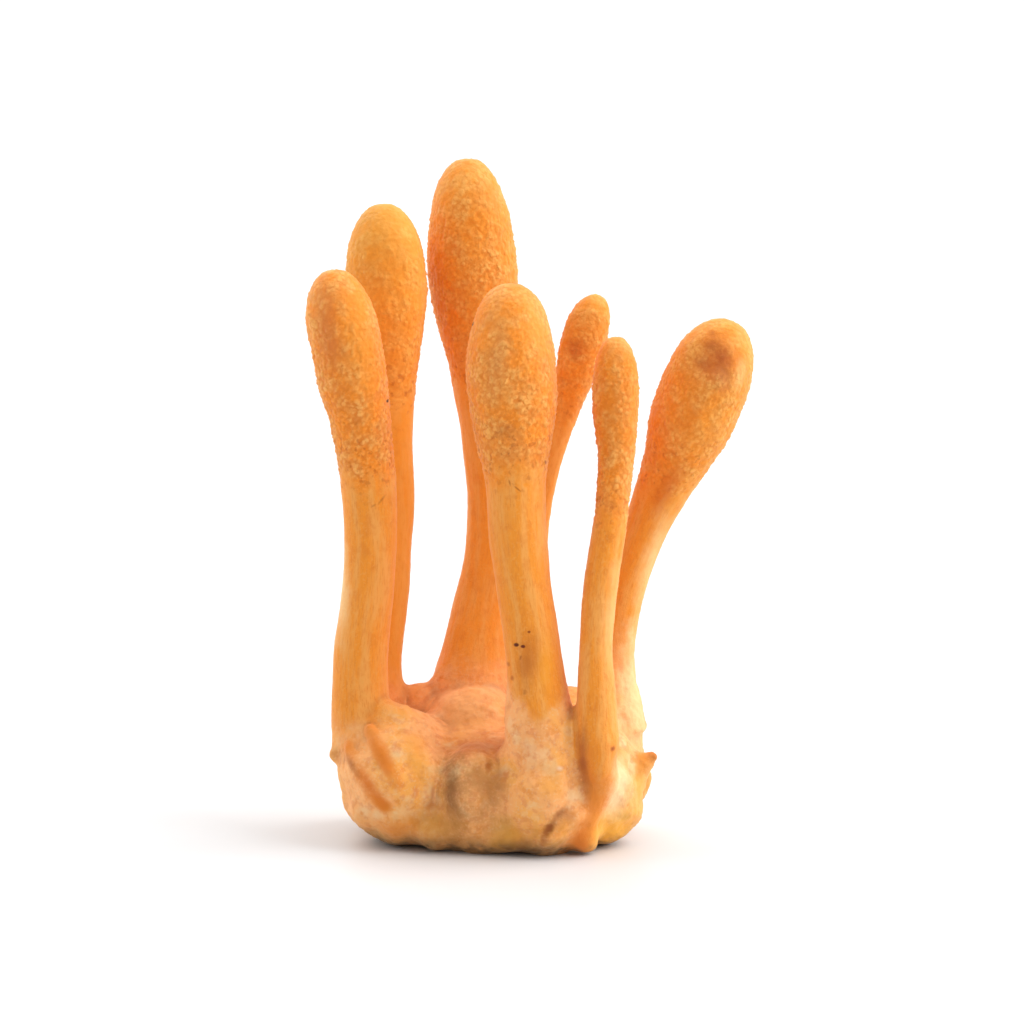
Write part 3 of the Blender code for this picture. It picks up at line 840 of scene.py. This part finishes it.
def relief_tree():
    """Geometry Nodes tree that raises pebbles, fibres, grains and felt along the skin's normals."""
    tree = bpy.data.node_groups.new("Cordyceps relief", "GeometryNodeTree")
    tree.is_modifier = True
    tree.interface.new_socket("Geometry", in_out="INPUT", socket_type="NodeSocketGeometry")
    for label in ("Pebble spacing", "Pebble height", "Fibre depth", "Grain height", "Felt height"):
        tree.interface.new_socket(label, in_out="INPUT", socket_type="NodeSocketFloat")
    tree.interface.new_socket("Seed", in_out="INPUT", socket_type="NodeSocketInt")
    tree.interface.new_socket("Material", in_out="INPUT", socket_type="NodeSocketMaterial")
    tree.interface.new_socket("Geometry", in_out="OUTPUT", socket_type="NodeSocketGeometry")
    given = add_node(tree, "NodeGroupInput").outputs

    def math_node(operation, a, b=0.0, c=0.0):
        return add_node(tree, "ShaderNodeMath", {0: a, 1: b, 2: c}, operation=operation).outputs[0]

    def named(name, kind="FLOAT"):
        return add_node(tree, "GeometryNodeInputNamedAttribute", {"Name": name}, data_type=kind).outputs[0]

    def scaled(vector, by):
        inputs = {0: vector, "Scale": by}
        return add_node(tree, "ShaderNodeVectorMath", inputs, operation="SCALE").outputs[0]

    def noise_node(vector, size, detail):
        inputs = {"Vector": scaled(vector, 1.0 / size), "Scale": 1.0, "Detail": detail}
        return add_node(tree, "ShaderNodeTexNoise", inputs).outputs

    def noise_at(vector, size, detail):
        return math_node("SUBTRACT", noise_node(vector, size, detail)[0], 0.5)

    position = add_node(tree, "GeometryNodeInputPosition").outputs[0]
    normal = add_node(tree, "GeometryNodeInputNormal").outputs[0]
    pebbling = named("pebbling")
    fertile = named("fertile")
    felt = named("felt")

    # Pebbles stand at points scattered over the heads, none nearer another than the spacing
    on_head = add_node(tree, "FunctionNodeCompare", {0: pebbling, 1: 0.02}, operation="GREATER_THAN")
    scatter = add_node(
        tree,
        "GeometryNodeDistributePointsOnFaces",
        {
            "Mesh": given["Geometry"],
            "Selection": on_head.outputs[0],
            "Distance Min": math_node("MULTIPLY", given["Pebble spacing"], 0.85),
            "Density Max": 4.0e7,
            "Seed": given["Seed"],
        },
        distribute_method="POISSON",
    )
    points = scatter.outputs["Points"]
    warp = noise_node(position, 0.35 * MM, 1.0)["Color"]
    centred = add_node(tree, "ShaderNodeVectorMath", {0: warp, 1: (0.5, 0.5, 0.5)}, operation="SUBTRACT")
    bent = add_node(
        tree,
        "ShaderNodeVectorMath",
        {0: centred.outputs[0], 1: (0.6 * MM, 0.6 * MM, 0.6 * MM), 2: position},
        operation="MULTIPLY_ADD",
    ).outputs[0]
    at_bent = {0: points, "Sample Position": bent}
    reach = add_node(tree, "GeometryNodeProximity", at_bent, target_element="POINTS")
    sizes = {"Min": 0.55, "Max": 1.25, "Seed": given["Seed"]}
    size = add_node(tree, "FunctionNodeRandomValue", sizes, data_type="FLOAT")
    nearest = add_node(tree, "GeometryNodeSampleNearest", at_bent)
    own_size = add_node(
        tree,
        "GeometryNodeSampleIndex",
        {"Geometry": points, "Value": size.outputs["Value"], "Index": nearest.outputs[0]},
    )
    dome = add_node(
        tree,
        "ShaderNodeMapRange",
        {
            "Value": reach.outputs["Distance"],
            "From Min": 0.0,
            "From Max": math_node("MULTIPLY", given["Pebble spacing"], 0.7),
            "To Min": 1.0,
            "To Max": 0.0,
        },
        interpolation_type="SMOOTHSTEP",
    )
    crest = math_node("MULTIPLY", dome.outputs[0], own_size.outputs[0])
    pebbles = math_node("MULTIPLY", math_node("SUBTRACT", crest, 1.0), given["Pebble height"])
    crumb_height = math_node("MULTIPLY", given["Pebble height"], 2.4)
    crumbs = math_node("MULTIPLY", noise_at(position, 0.75 * MM, 3.0), crumb_height)
    pebbles = math_node("MULTIPLY", math_node("ADD", pebbles, crumbs), pebbling)

    # Fibres run along the stalk: the noise is stretched along the club's own length
    stretch = {0: named("fibre", "FLOAT_VECTOR"), 1: (1.0, 1.0, 0.1)}
    along = add_node(tree, "ShaderNodeVectorMath", stretch, operation="MULTIPLY")
    bare = math_node("SUBTRACT", 1.0, math_node("MAXIMUM", fertile, felt))
    fibres = math_node("MULTIPLY", noise_at(along.outputs[0], 0.28, 2.0), given["Fibre depth"])
    fibres = math_node("MULTIPLY", math_node("MULTIPLY", fibres, 2.0), bare)

    grains = math_node("MULTIPLY", noise_at(position, 0.3 * MM, 2.0), given["Grain height"])
    grains = math_node("MULTIPLY", grains, 2.0)

    wide_humps = math_node("MULTIPLY", noise_at(position, 1.7 * MM, 3.0), 3.2)
    felt_humps = math_node("ADD", wide_humps, noise_at(position, 0.45 * MM, 3.0))
    felt_humps = math_node("MULTIPLY", math_node("MULTIPLY", felt_humps, given["Felt height"]), felt)

    total = math_node("ADD", math_node("ADD", pebbles, fibres), math_node("ADD", grains, felt_humps))
    split = add_node(tree, "ShaderNodeSeparateXYZ", {0: position})
    above_cut = add_node(
        tree,
        "ShaderNodeMapRange",
        {
            "Value": split.outputs["Z"],
            "From Min": 0.05 * MM,
            "From Max": 0.5 * MM,
            "To Min": 0.0,
            "To Max": 1.0,
        },
    )
    total = math_node("MULTIPLY", total, above_cut.outputs[0])
    kept = add_node(
        tree,
        "GeometryNodeStoreNamedAttribute",
        {"Geometry": given["Geometry"], "Name": "relief", "Value": crest},
        data_type="FLOAT",
        domain="POINT",
    )
    moved = {"Geometry": kept.outputs[0], "Offset": scaled(normal, total)}
    raised = add_node(tree, "GeometryNodeSetPosition", moved)
    real = add_node(tree, "GeometryNodeRealizeInstances", {"Geometry": raised.outputs[0]})
    dressed = add_node(
        tree, "GeometryNodeSetMaterial", {"Geometry": real.outputs[0], "Material": given["Material"]}
    )
    add_node(tree, "NodeGroupOutput", {0: dressed.outputs[0]})
    return tree


def raise_relief(skin, relief, material):
    """The skin with its pebbles, fibres, grains and felt as real relief."""
    tree = relief_tree()
    holder = bpy.data.objects.new("raising", skin)
    modifier = holder.modifiers.new("relief", "NODES")
    modifier.node_group = tree
    values = {
        "Pebble spacing": relief.pebble_spacing,
        "Pebble height": relief.pebble_height,
        "Fibre depth": relief.fibre_depth,
        "Grain height": relief.grain_height,
        "Felt height": relief.felt_height,
        "Seed": relief.seed,
        "Material": material,
    }
    for item in tree.interface.items_tree:
        if item.in_out == "INPUT" and item.name in values:
            modifier[item.identifier] = values[item.name]
    return finished_mesh(holder)


# What the material reads, kept when the skin is parted
KEPT_ATTRIBUTES = ["fertile", "pebbling", "neck_band", "ripe", "felt", "crease_shade", "relief", "fibre"]
KEPT_ATTRIBUTES += ["growth_orange", "growth_yellow"]


def read_attribute(mesh, name):
    attribute = mesh.attributes[name]
    vector = attribute.data_type == "FLOAT_VECTOR"
    values = np.empty(len(mesh.vertices) * (3 if vector else 1), np.float32)
    attribute.data.foreach_get("vector" if vector else "value", values)
    return values.reshape(-1, 3) if vector else values


def faces_of(mesh):
    """Corners of all faces in a row, each face's first corner and its number of corners."""
    corners = np.empty(len(mesh.loops), np.int32)
    mesh.loops.foreach_get("vertex_index", corners)
    starts = np.empty(len(mesh.polygons), np.int32)
    mesh.polygons.foreach_get("loop_start", starts)
    totals = np.empty(len(mesh.polygons), np.int32)
    mesh.polygons.foreach_get("loop_total", totals)
    return corners, starts, totals


def openings_in(corners, totals):
    """Rings of points round each opening, turned so that a face over the ring points outwards."""
    starts = np.cumsum(totals) - totals
    following = np.arange(len(corners)) + 1
    following[starts + totals - 1] = starts
    ahead = corners.astype(np.int64)
    behind = corners[following].astype(np.int64)
    span = int(corners.max()) + 1
    open_edges = ~np.isin(ahead * span + behind, behind * span + ahead)
    back = dict(zip(behind[open_edges].tolist(), ahead[open_edges].tolist()))
    rings = []
    while back:
        start, point = back.popitem()
        ring = [start]
        while point != start:
            ring.append(point)
            point = back.pop(point)
        rings.append(ring)
    return rings


def cut_out(whole, chosen, name, material):
    """Closed piece from the chosen faces of the whole skin, with a flat face over each opening."""
    corners, starts, totals = faces_of(whole)
    totals = totals[chosen]
    first = np.repeat(starts[chosen] - (np.cumsum(totals) - totals), totals)
    corners = corners[first + np.arange(totals.sum())]
    used, corners = np.unique(corners, return_inverse=True)
    rings = openings_in(corners, totals)
    corners = np.concatenate([corners, *[np.array(ring) for ring in rings]]).astype(np.int32)
    totals = np.concatenate([totals, [len(ring) for ring in rings]]).astype(np.int32)

    mesh = bpy.data.meshes.new(name)
    mesh.vertices.add(len(used))
    mesh.vertices.foreach_set("co", points_of(whole)[used].astype(np.float32).ravel())
    mesh.loops.add(len(corners))
    mesh.loops.foreach_set("vertex_index", corners)
    mesh.polygons.add(len(totals))
    mesh.polygons.foreach_set("loop_start", (np.cumsum(totals) - totals).astype(np.int32))
    mesh.update(calc_edges=True)
    for key in KEPT_ATTRIBUTES:
        store(mesh, key, read_attribute(whole, key)[used])
    mesh.materials.append(material)
    mesh.shade_smooth()
    mesh.set_sharp_from_angle(angle=math.radians(70))
    if mesh.validate():
        raise RuntimeError(name + " has faces that can't be kept")
    piece = bpy.data.objects.new(name, mesh)
    bpy.context.scene.collection.objects.link(piece)
    return piece, len(rings)


def flesh_material(name, marks, colours):
    """Fresh fungus flesh: matt and mealy, orange where it is bare, peach where meal or felt covers it."""
    material = bpy.data.materials.new(name)
    material.use_nodes = True
    tree = material.node_tree
    shader = tree.nodes["Principled BSDF"]

    def named(attribute, output="Fac"):
        return add_node(tree, "ShaderNodeAttribute", attribute_name=attribute).outputs[output]

    def ramp(value, low, high, to_low=0.0, to_high=1.0):
        return add_node(
            tree,
            "ShaderNodeMapRange",
            {0: value, 1: low, 2: high, 3: to_low, 4: to_high},
            interpolation_type="SMOOTHSTEP",
        ).outputs[0]

    def product(a, b):
        return add_node(tree, "ShaderNodeMath", {0: a, 1: b}, operation="MULTIPLY").outputs[0]

    def over(below, above, share):
        return add_node(tree, "ShaderNodeMix", {0: share, 6: below, 7: above}, data_type="RGBA").outputs[2]

    def noise_of(vector, size, detail=2.0):
        return add_node(
            tree, "ShaderNodeTexNoise", {"Vector": vector, "Scale": 1.0 / size, "Detail": detail}
        ).outputs[0]

    def stretched(across, lengthwise):
        scale = (1.0 / across, 1.0 / across, 1.0 / lengthwise)
        return add_node(
            tree, "ShaderNodeVectorMath", {0: named("fibre", "Vector"), 1: scale}, operation="MULTIPLY"
        ).outputs[0]

    place = add_node(tree, "ShaderNodeTexCoord").outputs["Object"]
    relief = named("relief")
    fertile = named("fertile")
    ripe = named("ripe")
    mottle = noise_of(place, 1.5 * MM, 3.0)
    meal = noise_of(place, 0.22 * MM, 3.0)

    # Stalk: peach and orange bands along its length, with fine darker fibres and pale meal
    bands = ramp(noise_of(stretched(0.8, 7.0), 1.0, 3.0), 0.4, 0.62)
    stalk = over(colours.stalk_orange, colours.stalk_peach, product(bands, 0.75))
    fibres = ramp(noise_of(stretched(0.1, 0.8), 1.0, 3.0), 0.48, 0.68)
    stalk = over(stalk, colours.fibre, product(fibres, 0.5))
    stalk = over(stalk, colours.fibre, ramp(noise_of(place, 1.1 * MM, 4.0), 0.52, 0.68, 0.0, 0.35))
    stalk = over(stalk, colours.stalk_peach, ramp(meal, 0.5, 0.7, 0.0, 0.45))

    # Head: pale mealy crests over bare orange pits, yellower in broad patches
    head = over(colours.head_glow, colours.crest, ramp(mottle, 0.38, 0.64))
    pebbling = named("pebbling")
    uneven = add_node(
        tree, "ShaderNodeTexNoise", {"Vector": place, "Scale": 1.0 / (0.5 * MM), "Detail": 2.0}
    )
    shifted = add_node(
        tree,
        "ShaderNodeVectorMath",
        {0: uneven.outputs["Color"], 1: (0.3 * MM, 0.3 * MM, 0.3 * MM), 2: place},
        operation="MULTIPLY_ADD",
    )
    crumb = add_node(
        tree,
        "ShaderNodeTexVoronoi",
        {"Vector": shifted.outputs[0], "Scale": 1.0 / (0.4 * MM), "Smoothness": 0.35},
        feature="SMOOTH_F1",
    ).outputs["Distance"]
    gaps = product(ramp(crumb, 0.35, 0.75), ramp(pebbling, 0.0, 1.0, 0.4, 1.0))
    gaps = product(gaps, ramp(mottle, 0.35, 0.65, 0.3, 1.0))
    pits = product(ramp(relief, 0.45, 0.05), product(pebbling, 0.55))
    head = over(head, colours.pit, pits)
    head = over(head, colours.pit, product(gaps, 0.7))
    head = over(head, colours.crest, product(ramp(relief, 0.4, 1.0), product(pebbling, 0.4)))
    head = over(head, colours.pit, ramp(meal, 0.5, 0.32, 0.0, 0.3))
    head = over(head, colours.crest, ramp(meal, 0.52, 0.7, 0.0, 0.35))
    aged = ramp(noise_of(place, 3.4 * MM, 3.0), 0.5, 0.7, 0.0, 0.45)
    head = over(head, colours.head_dull, aged)
    flesh = over(over(stalk, head, fertile), colours.ripe, product(ripe, 0.9))
    specks = ramp(noise_of(place, 0.55 * MM, 2.0), 0.57, 0.7)
    flesh = over(flesh, colours.speck, product(product(specks, named("neck_band")), 0.55))

    # Cushion: peach felt with cream and yellow patches, bare growths, and reddish painted shade in the
    # creases
    patches = ramp(noise_of(place, 4.5 * MM, 3.0), 0.45, 0.68)
    felt = over(colours.felt, colours.felt_yellow, product(patches, 0.7))
    felt = over(felt, colours.felt_cream, ramp(noise_of(place, 2.2 * MM, 4.0), 0.5, 0.7, 0.0, 0.6))
    felt = over(felt, colours.growth_orange, ramp(noise_of(place, 0.9 * MM, 4.0), 0.5, 0.3, 0.0, 0.5))
    felt = over(felt, colours.felt_blush, ramp(noise_of(place, 0.6 * MM, 5.0), 0.5, 0.66, 0.0, 0.5))
    felt = over(felt, colours.felt_cream, ramp(meal, 0.52, 0.68, 0.0, 0.3))
    flesh = over(flesh, felt, named("felt"))
    bare = product(named("growth_orange"), ramp(mottle, 0.3, 0.6, 0.7, 1.0))
    flesh = over(flesh, colours.growth_orange, bare)
    flesh = over(flesh, colours.growth_yellow, product(named("growth_yellow"), 0.75))
    # Painted shade: reddish brown laid into the creases
    flesh = over(flesh, colours.crease_shade, ramp(named("crease_shade"), 0.05, 1.0, 0.0, 0.75))
    height = add_node(tree, "ShaderNodeSeparateXYZ", {0: place}).outputs["Z"]
    low = product(ramp(height, 4.5 * MM, 1.0 * MM), ramp(patches, 0.2, 0.8, 0.3, 0.8))
    flesh = over(flesh, colours.felt_mustard, low)
    # Darker brown towards the flat underside, over the lowest two millimetres
    bottom_darkening = product(ramp(height, 2.2 * MM, 0.2 * MM), ramp(mottle, 0.35, 0.6, 0.45, 0.95))
    flesh = over(flesh, colours.bottom_darkening, bottom_darkening)

    # Marks: squashed balls of colour, some stains and flecks and some painted shade and highlights, whose
    # edges the meal and the mottling make ragged
    ragged = add_node(tree, "ShaderNodeMath", {0: meal, 1: 0.4, 2: mottle}, operation="MULTIPLY_ADD")
    for centre, half_sizes, tilt, strength, softness, hex_colour in MARKS[marks] + MARKS["both"]:
        inside = add_node(
            tree,
            "ShaderNodeMapping",
            {
                "Vector": place,
                "Location": Vector(centre) * MM,
                "Rotation": Euler((0.0, math.radians(tilt), 0.0)),
                "Scale": Vector(half_sizes) * MM,
            },
            vector_type="TEXTURE",
        )
        away = add_node(tree, "ShaderNodeVectorMath", {0: inside.outputs[0]}, operation="LENGTH")
        distance = add_node(
            tree,
            "ShaderNodeMath",
            {0: ragged.outputs[0], 1: 0.8, 2: away.outputs["Value"]},
            operation="MULTIPLY_ADD",
        )
        share = ramp(distance.outputs[0], MARK_REACH, MARK_REACH - softness, 0.0, strength)
        flesh = over(flesh, linear(hex_colour), share)

    tree.links.new(flesh, shader.inputs["Base Color"])
    rough = ramp(meal, 0.3, 0.7, 0.62, 0.82)
    tree.links.new(rough, shader.inputs["Roughness"])
    shader.inputs["IOR"].default_value = 1.4
    shader.inputs["Specular IOR Level"].default_value = 0.35
    shader.inputs["Sheen Weight"].default_value = 0.4
    shader.inputs["Sheen Roughness"].default_value = 0.5
    shader.inputs["Sheen Tint"].default_value = linear("#FFDBB0")
    dimples = product(gaps, product(fertile, -1.6))
    fine = add_node(
        tree, "ShaderNodeMath", {0: noise_of(place, 0.12 * MM, 4.0), 1: meal}, operation="ADD"
    )
    tooth = add_node(tree, "ShaderNodeMath", {0: fine.outputs[0], 1: dimples}, operation="ADD")
    bump = add_node(
        tree, "ShaderNodeBump", {"Height": tooth.outputs[0], "Strength": 0.7, "Distance": 0.04 * MM}
    )
    tree.links.new(bump.outputs[0], shader.inputs["Normal"])
    return material


def seat(piece, node):
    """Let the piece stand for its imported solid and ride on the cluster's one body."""
    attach(piece, "root")
    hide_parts(node)


def islands_above(mesh, height):
    """For each point above a height, the number of the island it is on, and -1 for each point below."""
    level = points_of(mesh)[:, 2] / MM
    a, b = edge_ends(mesh)
    joined = (level[a] > height) & (level[b] > height)
    a, b = a[joined], b[joined]
    island = np.arange(len(level))
    while True:
        lowest = np.minimum(island[a], island[b])
        merged = island.copy()
        np.minimum.at(merged, island[a], lowest)
        np.minimum.at(merged, island[b], lowest)
        merged = merged[merged]
        if np.array_equal(merged, island):
            break
        island = merged
    return np.where(level > height, island, -1)


def owners(mesh):
    """Number of the club that each face above the fork belongs to, and -1 for each face of the cushion."""
    corners, starts, totals = faces_of(mesh)
    places = points_of(mesh) / MM
    island = islands_above(mesh, FORK_HEIGHT + FORK_MARGIN)
    middle = np.add.reduceat(places[corners, 2], starts) / totals
    owner = np.full(len(starts), -1)
    for number, club in enumerate(CLUBS.values()):
        tip = np.argmin(np.linalg.norm(places - np.array(club["tip"]), axis=1))
        on_club = np.maximum.reduceat(island[corners] == island[tip], starts)
        owner[on_club & (middle > FORK_HEIGHT)] = number
    return owner


class CORDYCEPS_OT_grow_skin(bpy.types.Operator):
    """Grow the clubs and the cushion as one skin, with pebbles, fibres and felt"""

    bl_idname = "cordyceps.grow_skin"
    bl_label = "Grow skin"

    def execute(self, context):
        relief = context.scene.cordyceps_relief
        flesh = flesh_material("Fruiting body flesh", "clubs", context.scene.cordyceps_colours)
        skin = fused_skin(relief.voxel)
        whole = raise_relief(skin, relief, flesh)
        whole.name = "whole_skin"
        whole.use_fake_user = True
        return {"FINISHED"}


class CORDYCEPS_OT_part_clubs(bpy.types.Operator):
    """Part the seven clubs from the skin at the fork"""

    bl_idname = "cordyceps.part_clubs"
    bl_label = "Part clubs"

    def execute(self, context):
        whole = bpy.data.meshes["whole_skin"]
        flesh = bpy.data.materials["Fruiting body flesh"]
        owner = owners(whole)
        for number, name in enumerate(CLUBS):
            piece, openings = cut_out(whole, owner == number, name + "_flesh", flesh)
            if openings != 1:
                raise RuntimeError(f"{name} is open in {openings} places and not just at the fork")
            seat(piece, name)
        return {"FINISHED"}


class CORDYCEPS_OT_part_cushion(bpy.types.Operator):
    """Part the cushion with the clubs' feet from the skin, and remove what is left"""

    bl_idname = "cordyceps.part_cushion"
    bl_label = "Part cushion"

    def execute(self, context):
        whole = bpy.data.meshes["whole_skin"]
        felt = flesh_material("Mycelium felt", "cushion", context.scene.cordyceps_colours)
        piece, openings = cut_out(whole, owners(whole) < 0, "cushion_felt", felt)
        if openings != len(CLUBS):
            raise RuntimeError(f"the cushion is open in {openings} places and not at {len(CLUBS)} feet")
        seat(piece, "base")
        bpy.data.meshes.remove(whole)
        return {"FINISHED"}


def add_sun(name, energy, softness, azimuth, elevation):
    """White sun light. Its angles are degrees, and azimuth runs from the front towards the right."""
    light = bpy.data.lights.new(name, "SUN")
    light.energy = energy
    light.angle = math.radians(softness)
    holder = bpy.data.objects.new(name, light)
    holder.rotation_euler = (math.radians(90 - elevation), 0.0, math.radians(azimuth))
    bpy.context.scene.collection.objects.link(holder)


class CORDYCEPS_OT_set_studio(bpy.types.Operator):
    """Set the pale floor, the soft light and the camera"""

    bl_idname = "cordyceps.set_studio"
    bl_label = "Set studio"

    def execute(self, context):
        studio = context.scene.cordyceps_studio
        shape = bmesh.new()
        bmesh.ops.create_grid(shape, x_segments=1, y_segments=1, size=6.0)
        mesh = bpy.data.meshes.new("floor")
        shape.to_mesh(mesh)
        shape.free()
        floor = bpy.data.objects.new("floor", mesh)
        context.scene.collection.objects.link(floor)

        # Smooth paper: nearly white, with a soft sheen that picks up a little of the cushion's orange
        paper = bpy.data.materials.new("Smooth white paper")
        paper.use_nodes = True
        tree = paper.node_tree
        shader = tree.nodes["Principled BSDF"]
        shader.inputs["Base Color"].default_value = studio.floor
        shader.inputs["Roughness"].default_value = 0.45
        shader.inputs["Specular IOR Level"].default_value = 0.4
        place = add_node(tree, "ShaderNodeTexCoord").outputs["Object"]
        tooth = add_node(tree, "ShaderNodeTexNoise", {"Vector": place, "Scale": 1500.0, "Detail": 2.0})
        bump = add_node(
            tree, "ShaderNodeBump", {"Height": tooth.outputs[0], "Strength": 0.1, "Distance": 0.05 * MM}
        )
        tree.links.new(bump.outputs[0], shader.inputs["Normal"])
        mesh.materials.append(paper)

        world = bpy.data.worlds.new("studio")
        context.scene.world = world
        world.use_nodes = True
        tree = world.node_tree
        background = tree.nodes["Background"]
        background.inputs["Color"].default_value = (1.0, 1.0, 1.0, 1.0)
        seen = add_node(tree, "ShaderNodeLightPath").outputs["Is Camera Ray"]
        direction = add_node(tree, "ShaderNodeTexCoord").outputs["Generated"]
        sides = {0: direction, 1: TENT_SIDE}
        facing = add_node(tree, "ShaderNodeVectorMath", sides, operation="DOT_PRODUCT")
        tent = add_node(
            tree,
            "ShaderNodeMapRange",
            {0: facing.outputs["Value"], 1: -1.0, 2: 1.0, 3: studio.tent_dim, 4: studio.tent_bright},
        )
        shades = {0: seen, 2: tent.outputs[0], 3: SEEN_BACKGROUND}
        brightness = add_node(tree, "ShaderNodeMix", shades, data_type="FLOAT")
        tree.links.new(brightness.outputs[0], background.inputs["Strength"])

        add_sun("key_light", studio.key, softness=60.0, azimuth=86.0, elevation=42.0)
        add_sun("rim_light", studio.rim, softness=90.0, azimuth=-120.0, elevation=30.0)

        lens = bpy.data.cameras.new("camera")
        lens.lens = CAMERA["lens"]
        lens.sensor_width = 36.0
        lens.clip_start = 0.01
        tilt = math.radians(CAMERA["elevation"])
        ahead = Vector((0.0, math.cos(tilt), -math.sin(tilt)))
        camera = bpy.data.objects.new("camera", lens)
        camera.location = (Vector(CAMERA["target"]) - ahead * CAMERA["distance"]) * MM
        camera.rotation_euler = (math.pi / 2 - tilt, 0.0, 0.0)
        context.scene.collection.objects.link(camera)
        context.scene.camera = camera
        context.scene.view_settings.view_transform = "Standard"
        return {"FINISHED"}


class CORDYCEPS_PT_sidebar(bpy.types.Panel):
    bl_label = "Cordyceps cluster"
    bl_space_type = "VIEW_3D"
    bl_region_type = "UI"
    bl_category = "Cordyceps"

    def draw(self, context):
        layout = self.layout
        for operator in OPERATORS:
            layout.operator(operator.bl_idname)
        for label in ("cordyceps_relief", "cordyceps_colours", "cordyceps_studio"):
            settings = getattr(context.scene, label)
            for key in settings.__annotations__:
                layout.prop(settings, key)


OPERATORS = (
    CORDYCEPS_OT_grow_skin,
    CORDYCEPS_OT_part_clubs,
    CORDYCEPS_OT_part_cushion,
    CORDYCEPS_OT_set_studio,
)
CLASSES = (CordycepsRelief, CordycepsColours, CordycepsStudio, *OPERATORS, CORDYCEPS_PT_sidebar)


def register():
    for cls in CLASSES:
        bpy.utils.register_class(cls)
    bpy.types.Scene.cordyceps_relief = PointerProperty(type=CordycepsRelief)
    bpy.types.Scene.cordyceps_colours = PointerProperty(type=CordycepsColours)
    bpy.types.Scene.cordyceps_studio = PointerProperty(type=CordycepsStudio)


def unregister():
    for label in ("cordyceps_relief", "cordyceps_colours", "cordyceps_studio"):
        delattr(bpy.types.Scene, label)
    for cls in reversed(CLASSES):
        bpy.utils.unregister_class(cls)


def main():
    register()
    bpy.ops.cordyceps.grow_skin()
    bpy.ops.cordyceps.part_clubs()
    bpy.ops.cordyceps.part_cushion()
    bpy.ops.cordyceps.set_studio()


if __name__ == "__main__":
    main()
